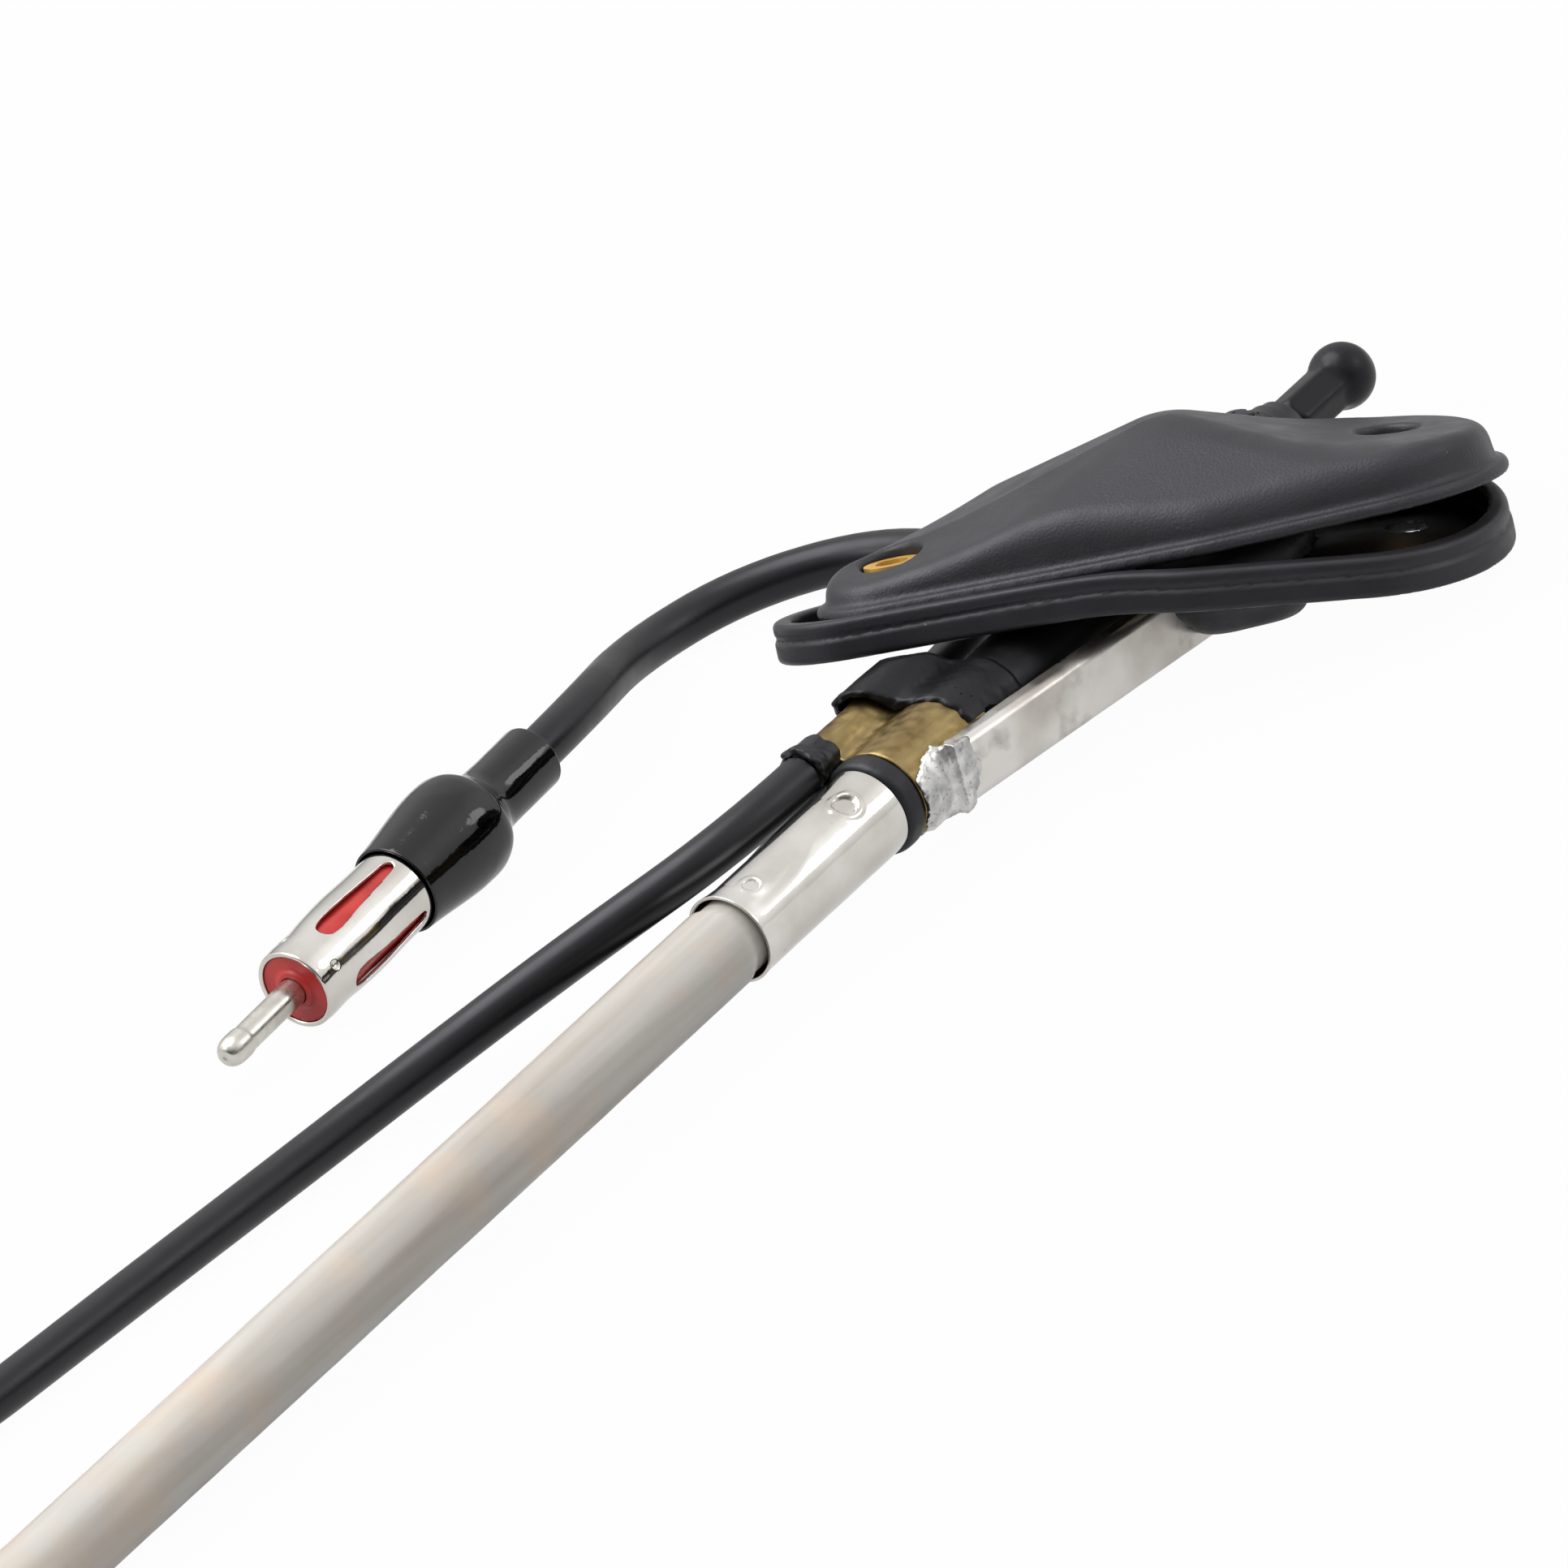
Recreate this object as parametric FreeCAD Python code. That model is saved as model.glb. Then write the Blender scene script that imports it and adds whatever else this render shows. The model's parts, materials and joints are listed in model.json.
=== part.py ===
import FreeCAD, Part
import math
import os
from FreeCAD import Placement, Rotation, Vector

# Retractable car antenna lying on a table, mast pushed in. Sizes are in millimetres.
# The base frame has x along the cover from its nose, y across it and z up from its lower edge.
# The mast frame has z along the mast from the sleeve's lower end, and x towards the lead in its clamp.

# Mast place and direction in the base frame
mast_azimuth = 46.2
mast_rise = 17.06
mast_roll = 63.4
bush_at = (48.3, 35.9, 4.9)
bush_along = 98.4

# Telescopic mast, from the rod outwards
rod_r = 1.0
section_wall = 0.3
section_gap = 0.35
running_fit = 0.05
section_count = 3
outer_wall = 0.35
mast_bottom = -128.0
mast_top_below_bush = 1.4
step_out = 0.9
foot_length = 6.0
mouth_length = 2.0
bottom_room = 1.5

# Ball tip
ball_r = 3.57
ball_above_bush = 13.6
collar_flats = 5.1
collar_above_bush = 3.4
collar_corner_r = 2.75
rod_grip = 6.5

# Bush at the cover
bush_body_r = 3.9
bush_flange_r = 4.25
bush_flange = 1.2
flange_gap = 0.5
bush_rings = [(3.75, 1.7), (3.35, 1.3)]
bush_body_length = 11.0

# Tubes and sleeve below the base, the sleeve being what is left below the ring
ring_below_bush = 70.5
insulator_r = 4.95
ring_r = 5.55
ring_length = 2.8
sleeve_r = 5.05
sleeve_wall = 0.4
drain_r = 4.62
drain_wall = 0.75
drain_end = -135.0
drain_share = 0.56
cap_flange = 1.5
cap_plug = 6.0
push_fit = 0.02

# Lead in its clamp, seen along the mast
lead_d = 4.9
lead_side = 7.3
lead_back = -3.4
braid_r = 1.6
clamp_wall = 0.4
clamp_length = 13.5
clamp_web = 1.3
collar_wall = 0.45
collar_length = 3.4

# Shrink cover over the clamp's upper end
shrink_r = 5.8
shrink_lead_r = 3.7
shrink_from = 10.3
shrink_lead_from = 6.0
shrink_to = 20.0
shrink_lead_to = 18.2
shrink_web = 5.0
shrink_gasket_gap = 0.15

# Channel bracket from the clamp to the boss
channel_height = 6.9
channel_top_flange = 2.3
channel_low_flange = 2.6
channel_sheet = 0.6
channel_start_at = (-6.85, 3.3)
channel_above_ring = 5.3
channel_end_at = (-11.3, 5.05)
channel_below_bush = 24.4
channel_up = Vector(0.826, 0.563, 0.0)

# Solder blob
solder_r = 3.5
solder_at = (-2.9, 6.0)
solder_above_ring = 3.3

# Cover: circles whose hull is the outline, as x, y, radius
cover_circles = [(6.5, 12.5, 6.5), (40.0, 12.0, 12.0), (56.5, 15.5, 14.5), (37.0, 29.5, 10.5)]
cover_wall = 1.6
cover_draft = 1.8
draft_height = 15.0
cover_lip = 1.0
lip_height = 1.5
nose_z = 3.8
cover_peak_x = 38.3
cover_peak_z = 13.4
rear_dip_x = 54.0
rear_dip_z = 8.3
rear_end_x = 80.0
rear_end_z = 4.3
near_shoulder_z = 4.2
flank_slope = 0.64
ridge_near_y = 14.5
ridge_far_y = 21.0
roof_round = 2.0
snout_r = 5.4
snout_length = 14.4

# Size of the blocks and rods that only cut, well beyond the base each way
beyond = 90.0

# Screw wells and ground plate
wells = [(7.75, 13.6), (60.3, 17.6)]
well_r = 3.2
well_wall = 1.2
plate_z = 0.8
plate_thick = 1.2
plate_gap = 0.4
eyelet_top = 4.3
eyelet_r = 3.05
screw_r = 1.75
screw_gap = 0.4
plate_slot_gap = 0.5
steel_circles = [(31.0, 14.0, 6.5), (42.0, 12.0, 7.5), (44.0, 20.0, 7.0), (35.0, 23.0, 7.0)]
steel_thick = 1.0
steel_grow = 1.5

# Boss under the ground plate
boss_circles = [(37.0, 13.0, 5.5), (42.0, 12.0, 7.5), (44.0, 20.0, 7.0), (37.5, 22.0, 6.5)]
boss_bottom = -8.0
lobe_circles = [(40.8, 11.0, 4.9), (44.2, 11.5, 4.9)]
lobe_bottom = -9.7
rear_lobe = (47.6, 12.5, 2.6)
rear_lobe_bottom = -8.4
boss_round = 2.2

# Gasket: underside level with a slight fall, its near rear corner hanging beyond the fold
gasket_shift = (-2.85, -0.3)
gasket_grow = 3.0
gasket_rim = 2.1
gasket_height = 4.3
gasket_floor = 1.1
gasket_front_z = -3.27
gasket_fall_x = 0.015
gasket_fall_y = 0.028
fold_from = (28.0, -2.0)
fold_to = (70.0, 25.0)
fold_slope = 0.27
gasket_hole_gap = 0.6
slot_nose = (19.5, 8.5, 4.5)

# Plug, with z along its axis from the barrel's place in the boot back to the lead
plug_at = (22.0, 60.1, 5.75)
plug_dir = Vector(0.9985, 0.0, 0.054)
pin_r = 1.65
pin_reach = 12.8
pin_grip = 9.0
pin_shank_r = 1.3
disc_thick = 3.0
barrel_r = 4.7
barrel_wall = 0.5
barrel_front = -18.7
barrel_back = 8.0
barrel_seat_r = 4.6
slot_width = 1.3
slot_from = -17.0
slot_to = -1.0
slot_count = 4
core_r = 3.6
boot_outline = [(5.0, 0.0), (5.3, 2.0), (6.2, 8.5), (6.25, 11.0), (5.9, 13.2), (4.4, 15.0), (3.8, 16.5), (3.7, 25.3)]

# Lead: chosen points on the table from the clamp to the coil, and from the coil to the plug
table_z = 2.5
lead_to_coil = [
    (34.9, 11.8, 12.6), (22.4, 11.8, 12.4), (6.4, 22.4, 8.4), (-9.6, 31.9, 4.3), (-27.6, 36.9, table_z),
    (-56.6, 39.9, table_z), (-88.6, 42.9, table_z), (-109.6, 49.9, 6.0), (-130.6, 63.4, 12.3)]
lead_to_plug = [
    (-116.6, 13.3, table_z), (-63.6, 13.8, table_z), (-10.6, 15.3, table_z), (31.4, 17.9, table_z),
    (61.4, 25.4, table_z), (85.3, 27.4, table_z), (97.0, 37.6, table_z), (99.1, 52.9, table_z),
    (90.6, 65.8, table_z), (75.7, 70.0, 2.8), (56.8, 60.2, 7.6), (47.2, 60.1, 7.1)]
arc_share = 0.45
coil_at = (-150.6, 40.4)
coil_r = 27.0
coil_turns = 2.5
coil_pitch = 4.95
tie_width = 6.0
tie_thick = 0.8

def cylinder(r, z0, z1, x=0.0, y=0.0):
    return Part.makeCylinder(r, z1 - z0, Vector(x, y, z0))


def pipe(r_out, r_in, z0, z1):
    return cylinder(r_out, z0, z1).cut(cylinder(r_in, z0, z1))


def revolved(points):
    outline = Part.makePolygon([Vector(r, 0, z) for r, z in points + points[:1]])
    return Part.Face(outline).revolve(Vector(0, 0, 0), Vector(0, 0, 1), 360)


def largest(shape):
    return max(shape.Solids, key=lambda solid: solid.Volume)


def axes_placement(origin, x_axis, z_axis):
    y_axis = z_axis.cross(x_axis)
    return Placement(origin, Rotation(x_axis, y_axis, z_axis, "ZXY"))


def placed(shape, placement):
    result = shape.copy()
    result.Placement = placement.multiply(result.Placement)
    return result


def tangent_normals(circles, grow):
    """Outward normals of the straight sides between circles that are listed anticlockwise."""
    normals = []
    for (x0, y0, r0), (x1, y1, r1) in zip(circles, circles[1:] + circles[:1]):
        along = Vector(x1 - x0, y1 - y0, 0)
        turn = (r0 - r1) / along.Length
        along.normalize()
        side = Vector(along.y, -along.x, 0)
        normals.append(side * math.sqrt(1 - turn * turn) + along * turn)
    return normals


def hull_wire(circles, grow, z):
    normals = tangent_normals(circles, grow)
    edges = []
    for i, (x, y, r) in enumerate(circles):
        centre = Vector(x, y, z)
        reach = r + grow
        n_in = normals[i - 1]
        n_out = normals[i]
        turn = math.atan2(n_in.cross(n_out).z, n_in.dot(n_out)) % (2 * math.pi)
        n_mid = Rotation(Vector(0, 0, 1), math.degrees(turn / 2)).multVec(n_in)
        edges.append(Part.Arc(centre + n_in * reach, centre + n_mid * reach, centre + n_out * reach).toShape())
        x1, y1, r1 = circles[(i + 1) % len(circles)]
        edges.append(Part.makeLine(centre + n_out * reach, Vector(x1, y1, z) + n_out * (r1 + grow)))
    return Part.Wire(edges)


def hull_prism(circles, grow, z0, z1):
    return Part.Face(hull_wire(circles, grow, z0)).extrude(Vector(0, 0, z1 - z0))


# Mast frame in the base frame
azimuth = math.radians(mast_azimuth)
rise = math.radians(mast_rise)
roll = math.radians(mast_roll)
mast_dir = Vector(math.cos(rise) * math.cos(azimuth), math.cos(rise) * math.sin(azimuth), math.sin(rise))
mast_left = Vector(-math.sin(azimuth), math.cos(azimuth), 0)
mast_above = mast_dir.cross(mast_left)
mast_x = mast_left * math.cos(roll) + mast_above * math.sin(roll)
mast_origin = Vector(*bush_at) - mast_dir * bush_along
mast_frame = axes_placement(mast_origin, mast_x, mast_dir)

# Radii of the nested tubes: section 1 is the outermost that slides
bores = []
radii = []
inner = rod_r
for _ in range(section_count):
    bores.insert(0, inner + section_gap)
    radii.insert(0, inner + section_gap + section_wall)
    inner = radii[0]
outer_bore = inner + section_gap
outer_r = outer_bore + outer_wall


fold_dir = Vector(fold_to[0] - fold_from[0], fold_to[1] - fold_from[1], 0).normalize()
gasket_circles = [(x + gasket_shift[0], y + gasket_shift[1], r) for x, y, r in cover_circles]
slot_circles = [slot_nose] + boss_circles[1:]
insulator_top = bush_along - bush_flange - bush_body_length
ring_top = bush_along - ring_below_bush
sleeve_length = ring_top - ring_length
drain_overlap = sleeve_length * drain_share
mast_top = bush_along - mast_top_below_bush
collar_bottom = bush_along + collar_above_bush
ball_along = bush_along + ball_above_bush
snout_start = bush_along - snout_length
channel_start = Vector(*channel_start_at, ring_top + channel_above_ring)
channel_end = Vector(*channel_end_at, bush_along - channel_below_bush)


def telescopic_tube(r_out, bore, foot_r, mouth_r, z0, z1):
    """A drawn tube with a spread foot and a rolled-in mouth."""
    return revolved([
        (bore, z0), (foot_r, z0), (foot_r, z0 + foot_length), (r_out, z0 + foot_length),
        (r_out, z1), (mouth_r, z1), (mouth_r, z1 - mouth_length), (bore, z1 - mouth_length)])


def mast_nodes():
    nodes = {}
    nodes["mast_outer_tube"] = telescopic_tube(
        outer_r, outer_bore, outer_r, radii[0] + running_fit, mast_bottom, mast_top)
    parent_bore = outer_bore
    low = mast_bottom + bottom_room
    high = mast_top + step_out
    for i in range(section_count):
        child_r = radii[i + 1] if i + 1 < section_count else rod_r
        nodes["mast_section_%d" % (i + 1)] = telescopic_tube(
            radii[i], bores[i], parent_bore - running_fit, child_r + running_fit, low, high)
        parent_bore = bores[i]
        low += bottom_room
        high += step_out
    rod_top = collar_bottom + rod_grip
    rod = cylinder(rod_r, low, rod_top).fuse(cylinder(parent_bore - running_fit, low, low + foot_length))
    nodes["mast_rod"] = rod.removeSplitter()
    hexagon = [Vector(collar_flats / math.sqrt(3) * math.cos(math.radians(60 * k)),
                      collar_flats / math.sqrt(3) * math.sin(math.radians(60 * k)), collar_bottom)
               for k in range(7)]
    collar = Part.Face(Part.makePolygon(hexagon)).extrude(Vector(0, 0, ball_along - collar_bottom))
    collar = collar.common(revolved([
        (0, collar_bottom), (collar_corner_r - 0.5, collar_bottom), (collar_corner_r, collar_bottom + 1.0),
        (collar_corner_r, ball_along), (0, ball_along)]))
    tip = collar.fuse(Part.makeSphere(ball_r, Vector(0, 0, ball_along)))
    nodes["mast_tip"] = tip.cut(cylinder(rod_r, collar_bottom, rod_top))
    return nodes


def bush():
    top = bush_along
    points = [(outer_r + push_fit, top - bush_flange - bush_body_length),
              (bush_body_r, top - bush_flange - bush_body_length),
              (bush_body_r, top - bush_flange), (bush_flange_r, top - bush_flange), (bush_flange_r, top)]
    for r, height in bush_rings:
        points += [(r, top), (r, top + height)]
        top += height
    mouth = radii[0] + 2 * running_fit
    points += [(mouth, top), (mouth, mast_top + push_fit), (outer_r + push_fit, mast_top + push_fit)]
    return revolved(points)


def bracket_bar(profile):
    """A bar of this section along the bracket; the section's first axis points to the mast."""
    run = channel_end - channel_start
    length = run.Length
    run.normalize()
    up = (channel_up - run * channel_up.dot(run)).normalize()
    inward = up.cross(run)
    corners = [channel_start + inward * a + up * b for a, b in profile + profile[:1]]
    return Part.Face(Part.makePolygon(corners)).extrude(run * length)


def bracket_room():
    depth = channel_low_flange
    return bracket_bar([(0, 0), (depth, 0), (depth, channel_height), (0, channel_height)])


def bracket():
    """The channel: a web with a flange along each edge, open towards the insulator tube."""
    sheet = channel_sheet
    profile = [(0, 0), (channel_low_flange, 0), (channel_low_flange, sheet), (sheet, sheet),
               (sheet, channel_height - sheet), (channel_top_flange, channel_height - sheet),
               (channel_top_flange, channel_height), (0, channel_height)]
    return bracket_bar(profile)


def lead_place(r, z0, z1):
    return cylinder(r, z0, z1, lead_side, lead_back)


def between_tube_and_lead(half, z0, z1):
    """A bar along the line from the mast axis to the lead's axis."""
    reach = math.hypot(lead_side, lead_back)
    bar = Part.makeBox(reach, 2 * half, z1 - z0, Vector(0, -half, z0))
    bar.rotate(Vector(0, 0, 0), Vector(0, 0, 1), math.degrees(math.atan2(lead_back, lead_side)))
    return bar


def clamp_nodes():
    """Everything on the lower end of the mast tube, in the mast frame."""
    nodes = {}
    clamp_top = ring_top + clamp_length
    tube_bore = outer_r + push_fit
    nodes["insulator_tube"] = pipe(insulator_r, tube_bore, ring_top, insulator_top)
    nodes["insulator_ring"] = pipe(ring_r, tube_bore, sleeve_length, ring_top)
    nodes["ferrule_sleeve"] = pipe(sleeve_r, sleeve_r - sleeve_wall, 0, sleeve_length)
    nodes["drain_tube"] = pipe(drain_r, drain_r - drain_wall, drain_end, drain_overlap)
    cap = cylinder(drain_r, drain_end - cap_flange, drain_end)
    nodes["tube_end_cap"] = cap.fuse(
        cylinder(drain_r - drain_wall - push_fit, drain_end, drain_end + cap_plug)).removeSplitter()

    clamp = cylinder(insulator_r + clamp_wall, ring_top, clamp_top)
    clamp = clamp.fuse(lead_place(braid_r + clamp_wall, ring_top, clamp_top))
    clamp = clamp.fuse(between_tube_and_lead(clamp_web, ring_top, clamp_top))
    clamp_hull = clamp.removeSplitter()
    tube_core = cylinder(insulator_r, ring_top, clamp_top)
    nodes["brass_clamp"] = clamp_hull.cut(tube_core).cut(lead_place(braid_r, ring_top, clamp_top))

    shrink = cylinder(shrink_r, ring_top + shrink_from, ring_top + shrink_to)
    shrink = shrink.fuse(lead_place(shrink_lead_r, ring_top + shrink_lead_from, ring_top + shrink_lead_to))
    shrink = shrink.fuse(between_tube_and_lead(
        shrink_web / 2, ring_top + shrink_from, ring_top + shrink_lead_to))
    shrink = shrink.cut(cylinder(insulator_r, ring_top, ring_top + shrink_to)).cut(clamp_hull)

    collar = lead_place(lead_d / 2 + collar_wall, ring_top - collar_length, ring_top)
    collar = collar.cut(lead_place(lead_d / 2, 0, ring_top)).cut(cylinder(ring_r, 0, ring_top))
    nodes["cable_collar"] = collar
    channel = bracket().cut(clamp_hull)
    nodes["support_channel"] = channel
    nodes["shrink_cover"] = largest(shrink.cut(bracket_room()))
    solder = Part.makeSphere(solder_r, Vector(*solder_at, ring_top + solder_above_ring))
    solder = solder.cut(clamp_hull).cut(channel)
    solder = solder.cut(cylinder(ring_r, 0, ring_top))
    solder = solder.cut(cylinder(insulator_r, 0, insulator_top))
    nodes["solder_joint"] = largest(solder)
    return nodes


def cover_body(grow, drop):
    """The cover's closed outer form, or with negative grow its hollow."""
    sides = Part.makeLoft([hull_wire(cover_circles, grow, -drop), hull_wire(cover_circles, grow - cover_draft, draft_height)],
                          True, True)
    before = -cover_lip
    slope_x = [(before, roof_at(before)), (cover_peak_x, cover_peak_z), (rear_dip_x, rear_dip_z),
               (rear_end_x, rear_end_z)]
    roof = [Vector(x, -beyond, z - drop) for x, z in slope_x]
    roof += [Vector(rear_end_x, -beyond, -beyond), Vector(before, -beyond, -beyond), roof[0]]
    body = sides.common(Part.Face(Part.makePolygon(roof)).extrude(Vector(0, 2 * beyond, 0)))
    ridge_z = near_shoulder_z + ridge_near_y * flank_slope
    fall = beyond * flank_slope
    crown = [(ridge_near_y - beyond, ridge_z - fall), (ridge_near_y, ridge_z), (ridge_far_y, ridge_z),
             (ridge_far_y + beyond, ridge_z - fall)]
    across = [Vector(before, y, z - drop) for y, z in crown]
    across += [Vector(before, crown[-1][0], -2 * beyond), Vector(before, crown[0][0], -2 * beyond), across[0]]
    return body.common(Part.Face(Part.makePolygon(across)).extrude(Vector(2 * beyond, 0, 0)))


def roof_at(x):
    return nose_z + (cover_peak_z - nose_z) * x / cover_peak_x


def top_edges(shape):
    """Edges along the roof and down its ridges, but none on the lower edge or the upright seams."""
    found = []
    for edge in shape.Edges:
        box = edge.BoundBox
        if box.ZMin > lip_height / 2:
            found.append(edge)
    return found


def rounded_foot(block):
    low = block.BoundBox.ZMin + 0.01
    return block.makeFillet(boss_round, [edge for edge in block.Edges if edge.BoundBox.ZMax < low])


def base_nodes():
    nodes = {}
    outer = cover_body(0.0, 0.0)
    outer = outer.makeFillet(roof_round, top_edges(outer))
    lip = hull_prism(cover_circles, cover_lip, 0, lip_height)
    cover = outer.fuse(lip)
    snout = placed(cylinder(snout_r, snout_start, bush_along - bush_flange), mast_frame)
    room = Part.makeBox(2 * beyond, 2 * beyond, beyond, Vector(-beyond / 2, -beyond / 2, 0))
    hollow = cover_body(-cover_wall, cover_wall).common(room)
    hollow = hollow.fuse(hull_prism(cover_circles, -cover_wall, -plate_z, plate_z + plate_thick))
    for x, y in wells:
        hollow = hollow.cut(cylinder(well_r + well_wall, eyelet_top - plate_thick, beyond, x, y))
    hollow = hollow.cut(snout)
    cover = cover.fuse(snout.common(room)).cut(hollow)
    for x, y in wells:
        cover = cover.cut(cylinder(well_r, -beyond, beyond, x, y))
    cover = cover.cut(placed(cylinder(bush_body_r, 0, bush_along), mast_frame))
    cover = cover.cut(placed(cylinder(insulator_r, 0, insulator_top), mast_frame))
    cover = cover.cut(placed(cylinder(bush_flange_r + flange_gap, bush_along - bush_flange, bush_along + beyond), mast_frame))
    nodes["base_cover"] = cover

    tube_way = placed(cylinder(insulator_r + push_fit, 0, bush_along), mast_frame)
    wide_way = placed(cylinder(insulator_r + plate_slot_gap, 0, bush_along), mast_frame)
    plate = hull_prism(cover_circles, -cover_wall - plate_gap, plate_z, plate_z + plate_thick)
    for x, y in wells:
        plate = plate.fuse(cylinder(eyelet_r, plate_z, eyelet_top, x, y))
    for x, y in wells:
        plate = plate.cut(cylinder(screw_r, 0, beyond, x, y))
    nodes["ground_plate"] = plate.cut(wide_way)

    boss = rounded_foot(hull_prism(boss_circles, 0, boss_bottom, plate_z - steel_thick))
    boss = boss.fuse(rounded_foot(hull_prism(lobe_circles, 0, lobe_bottom, -steel_thick)))
    x, y, r = rear_lobe
    boss = boss.fuse(rounded_foot(cylinder(r, rear_lobe_bottom, -steel_thick, x, y)))
    nodes["mount_boss"] = boss.cut(tube_way).cut(placed(bracket_room(), mast_frame))
    steel = hull_prism(steel_circles, steel_grow, plate_z - steel_thick, plate_z)
    nodes["bracket_plate"] = steel.cut(wide_way)
    return nodes


def hang(x, y, droop):
    """Height of the gasket's underside, level and sagging across, with the near rear corner hanging."""
    z = gasket_front_z - gasket_fall_x * x - gasket_fall_y * y
    if droop:
        away = (x - fold_from[0]) * fold_dir.y - (y - fold_from[1]) * fold_dir.x
        z -= fold_slope * away
    return z


def gasket_plane(height, droop):
    """A block whose top face is the gasket's underside raised by height."""
    corners = [(-beyond, -beyond), (2 * beyond, -beyond), (2 * beyond, 2 * beyond), (-beyond, 2 * beyond)]
    deep = Vector(0, 0, beyond)
    floor = [Vector(x, y, hang(x, y, droop) + height) - deep for x, y in corners]
    return Part.Face(Part.makePolygon(floor + floor[:1])).extrude(deep)


def gasket_under(height):
    return gasket_plane(height, False).common(gasket_plane(height, True))


def gasket():
    outer = hull_prism(gasket_circles, gasket_grow, -beyond / 2, beyond / 2)
    well = hull_prism(gasket_circles, gasket_grow - gasket_rim, -beyond / 2, beyond / 2)
    ring = outer.common(gasket_under(gasket_height)).cut(gasket_under(0))
    bowl = well.common(gasket_under(2 * gasket_height)).cut(gasket_under(gasket_floor))
    body = ring.cut(bowl)
    body = body.cut(hull_prism(slot_circles, 0, -beyond / 2, beyond / 2))
    for x, y in wells:
        body = body.cut(cylinder(screw_r + screw_gap, -beyond / 2, beyond / 2, x, y))
    return body.cut(placed(cylinder(insulator_r + gasket_hole_gap, 0, bush_along), mast_frame))


def tube_contact(up):
    """The lowest point of the drain tube's end cap for this upward direction."""
    end = mast_origin + mast_dir * (drain_end - cap_flange)
    across = (up - mast_dir * up.dot(mast_dir)).normalize()
    return end - across * drain_r


def resting_up():
    """Upward direction when the tube's end and the gasket's straight far edge lie on a table."""
    normal = tangent_normals(gasket_circles, gasket_grow)[2]
    edge = []
    for x, y, r in gasket_circles[2:]:
        reach = Vector(x, y, 0) + normal * (r + gasket_grow)
        edge.append(Vector(reach.x, reach.y, hang(reach.x, reach.y, False)))
    up = Vector(0, 0, 1)
    for _ in range(20):
        up = (edge[0] - tube_contact(up)).cross(edge[1] - edge[0]).normalize()
        if up.z < 0:
            up = up * -1
    return up, edge[0]


def routed_tube(points, r):
    """A tube of straight runs joined by tangent arcs."""
    corners = [Vector(*point) for point in points]
    edges = []
    last = corners[0]
    for before, corner, after in zip(corners, corners[1:], corners[2:]):
        back = before - corner
        ahead = after - corner
        reach = arc_share * min(back.Length, ahead.Length)
        half_turn = (math.pi - back.getAngle(ahead)) / 2
        radius = reach / math.tan(half_turn)
        start = corner + back.normalize() * reach
        end = corner + ahead.normalize() * reach
        inside = (back + ahead).normalize()
        middle = corner + inside * radius * (1 / math.cos(half_turn) - 1)
        edges.append(Part.makeLine(last, start))
        edges.append(Part.Arc(start, middle, end).toShape())
        print("bend at", [round(v, 1) for v in corner], "radius", round(radius, 1), "turn",
              round(math.degrees(2 * half_turn), 1))
        last = end
    edges.append(Part.makeLine(last, corners[-1]))
    path = Part.Wire(edges)
    along = corners[1] - corners[0]
    section = Part.Wire(Part.makeCircle(r, corners[0], along))
    tube = path.makePipeShell([section], True, False)
    print("tube length", round(path.Length, 1), "volume share",
          round(tube.Volume / (path.Length * math.pi * r * r), 4))
    return tube


def lead_nodes():
    """The lead with its coil, in the row frame."""
    nodes = {}
    x, y = coil_at
    half = lead_d / 2
    top = table_z + coil_turns * coil_pitch
    coil = cylinder(coil_r + half, table_z - half, top + half, x, y)
    coil = coil.cut(cylinder(coil_r - half, table_z - half, top + half, x, y))
    nodes["lead_coil"] = coil
    to_coil = lead_to_coil + [(x, y + coil_r, top)]
    to_plug = [(x, y - coil_r, table_z)] + lead_to_plug
    nodes["lead_cable"] = routed_tube(to_coil, half)
    nodes["plug_cable"] = routed_tube(to_plug, half)
    band = Part.makeBox(lead_d + 2 * tie_thick, tie_width, top + tie_thick,
                        Vector(x - coil_r - half - tie_thick, y - tie_width / 2, half))
    nodes["coil_tie"] = band.cut(coil)
    return nodes


def plug_nodes():
    """The plug, in its own frame with z back to the lead."""
    nodes = {}
    front = barrel_front
    bore = barrel_r - barrel_wall
    tip = front - pin_reach + pin_r
    pin = cylinder(pin_r, tip, front).fuse(Part.makeSphere(pin_r, Vector(0, 0, tip)))
    nodes["plug_pin"] = pin.fuse(cylinder(pin_shank_r, front, front + pin_grip)).removeSplitter()
    core = cylinder(core_r, front, barrel_back).fuse(cylinder(bore, front, front + disc_thick))
    core = core.fuse(cylinder(bore, barrel_back - disc_thick, barrel_back)).removeSplitter()
    nodes["plug_insulator"] = core.cut(cylinder(pin_shank_r, front, front + pin_grip))
    shell = pipe(barrel_r, bore, front, 0).fuse(pipe(barrel_seat_r, bore, 0, barrel_back))
    for k in range(slot_count):
        slot = Part.makeBox(2 * barrel_r, slot_width, slot_to - slot_from, Vector(0, -slot_width / 2, slot_from))
        slot.rotate(Vector(0, 0, 0), Vector(0, 0, 1), 45 + 360 * k / slot_count)
        shell = shell.cut(slot)
    nodes["plug_barrel"] = shell
    boot = revolved([(0, 0)] + boot_outline + [(0, boot_outline[-1][1])])
    nodes["plug_boot"] = boot.cut(cylinder(barrel_seat_r, 0, barrel_back))
    return nodes


nodes = {}
nodes.update(mast_nodes())
nodes["mast_bush"] = bush()
nodes.update(clamp_nodes())
nodes = {name: placed(shape, mast_frame) for name, shape in nodes.items()}
nodes.update(base_nodes())
nodes["base_gasket"] = gasket()
nodes["shrink_cover"] = nodes["shrink_cover"].common(gasket_under(-shrink_gasket_gap))

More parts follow.
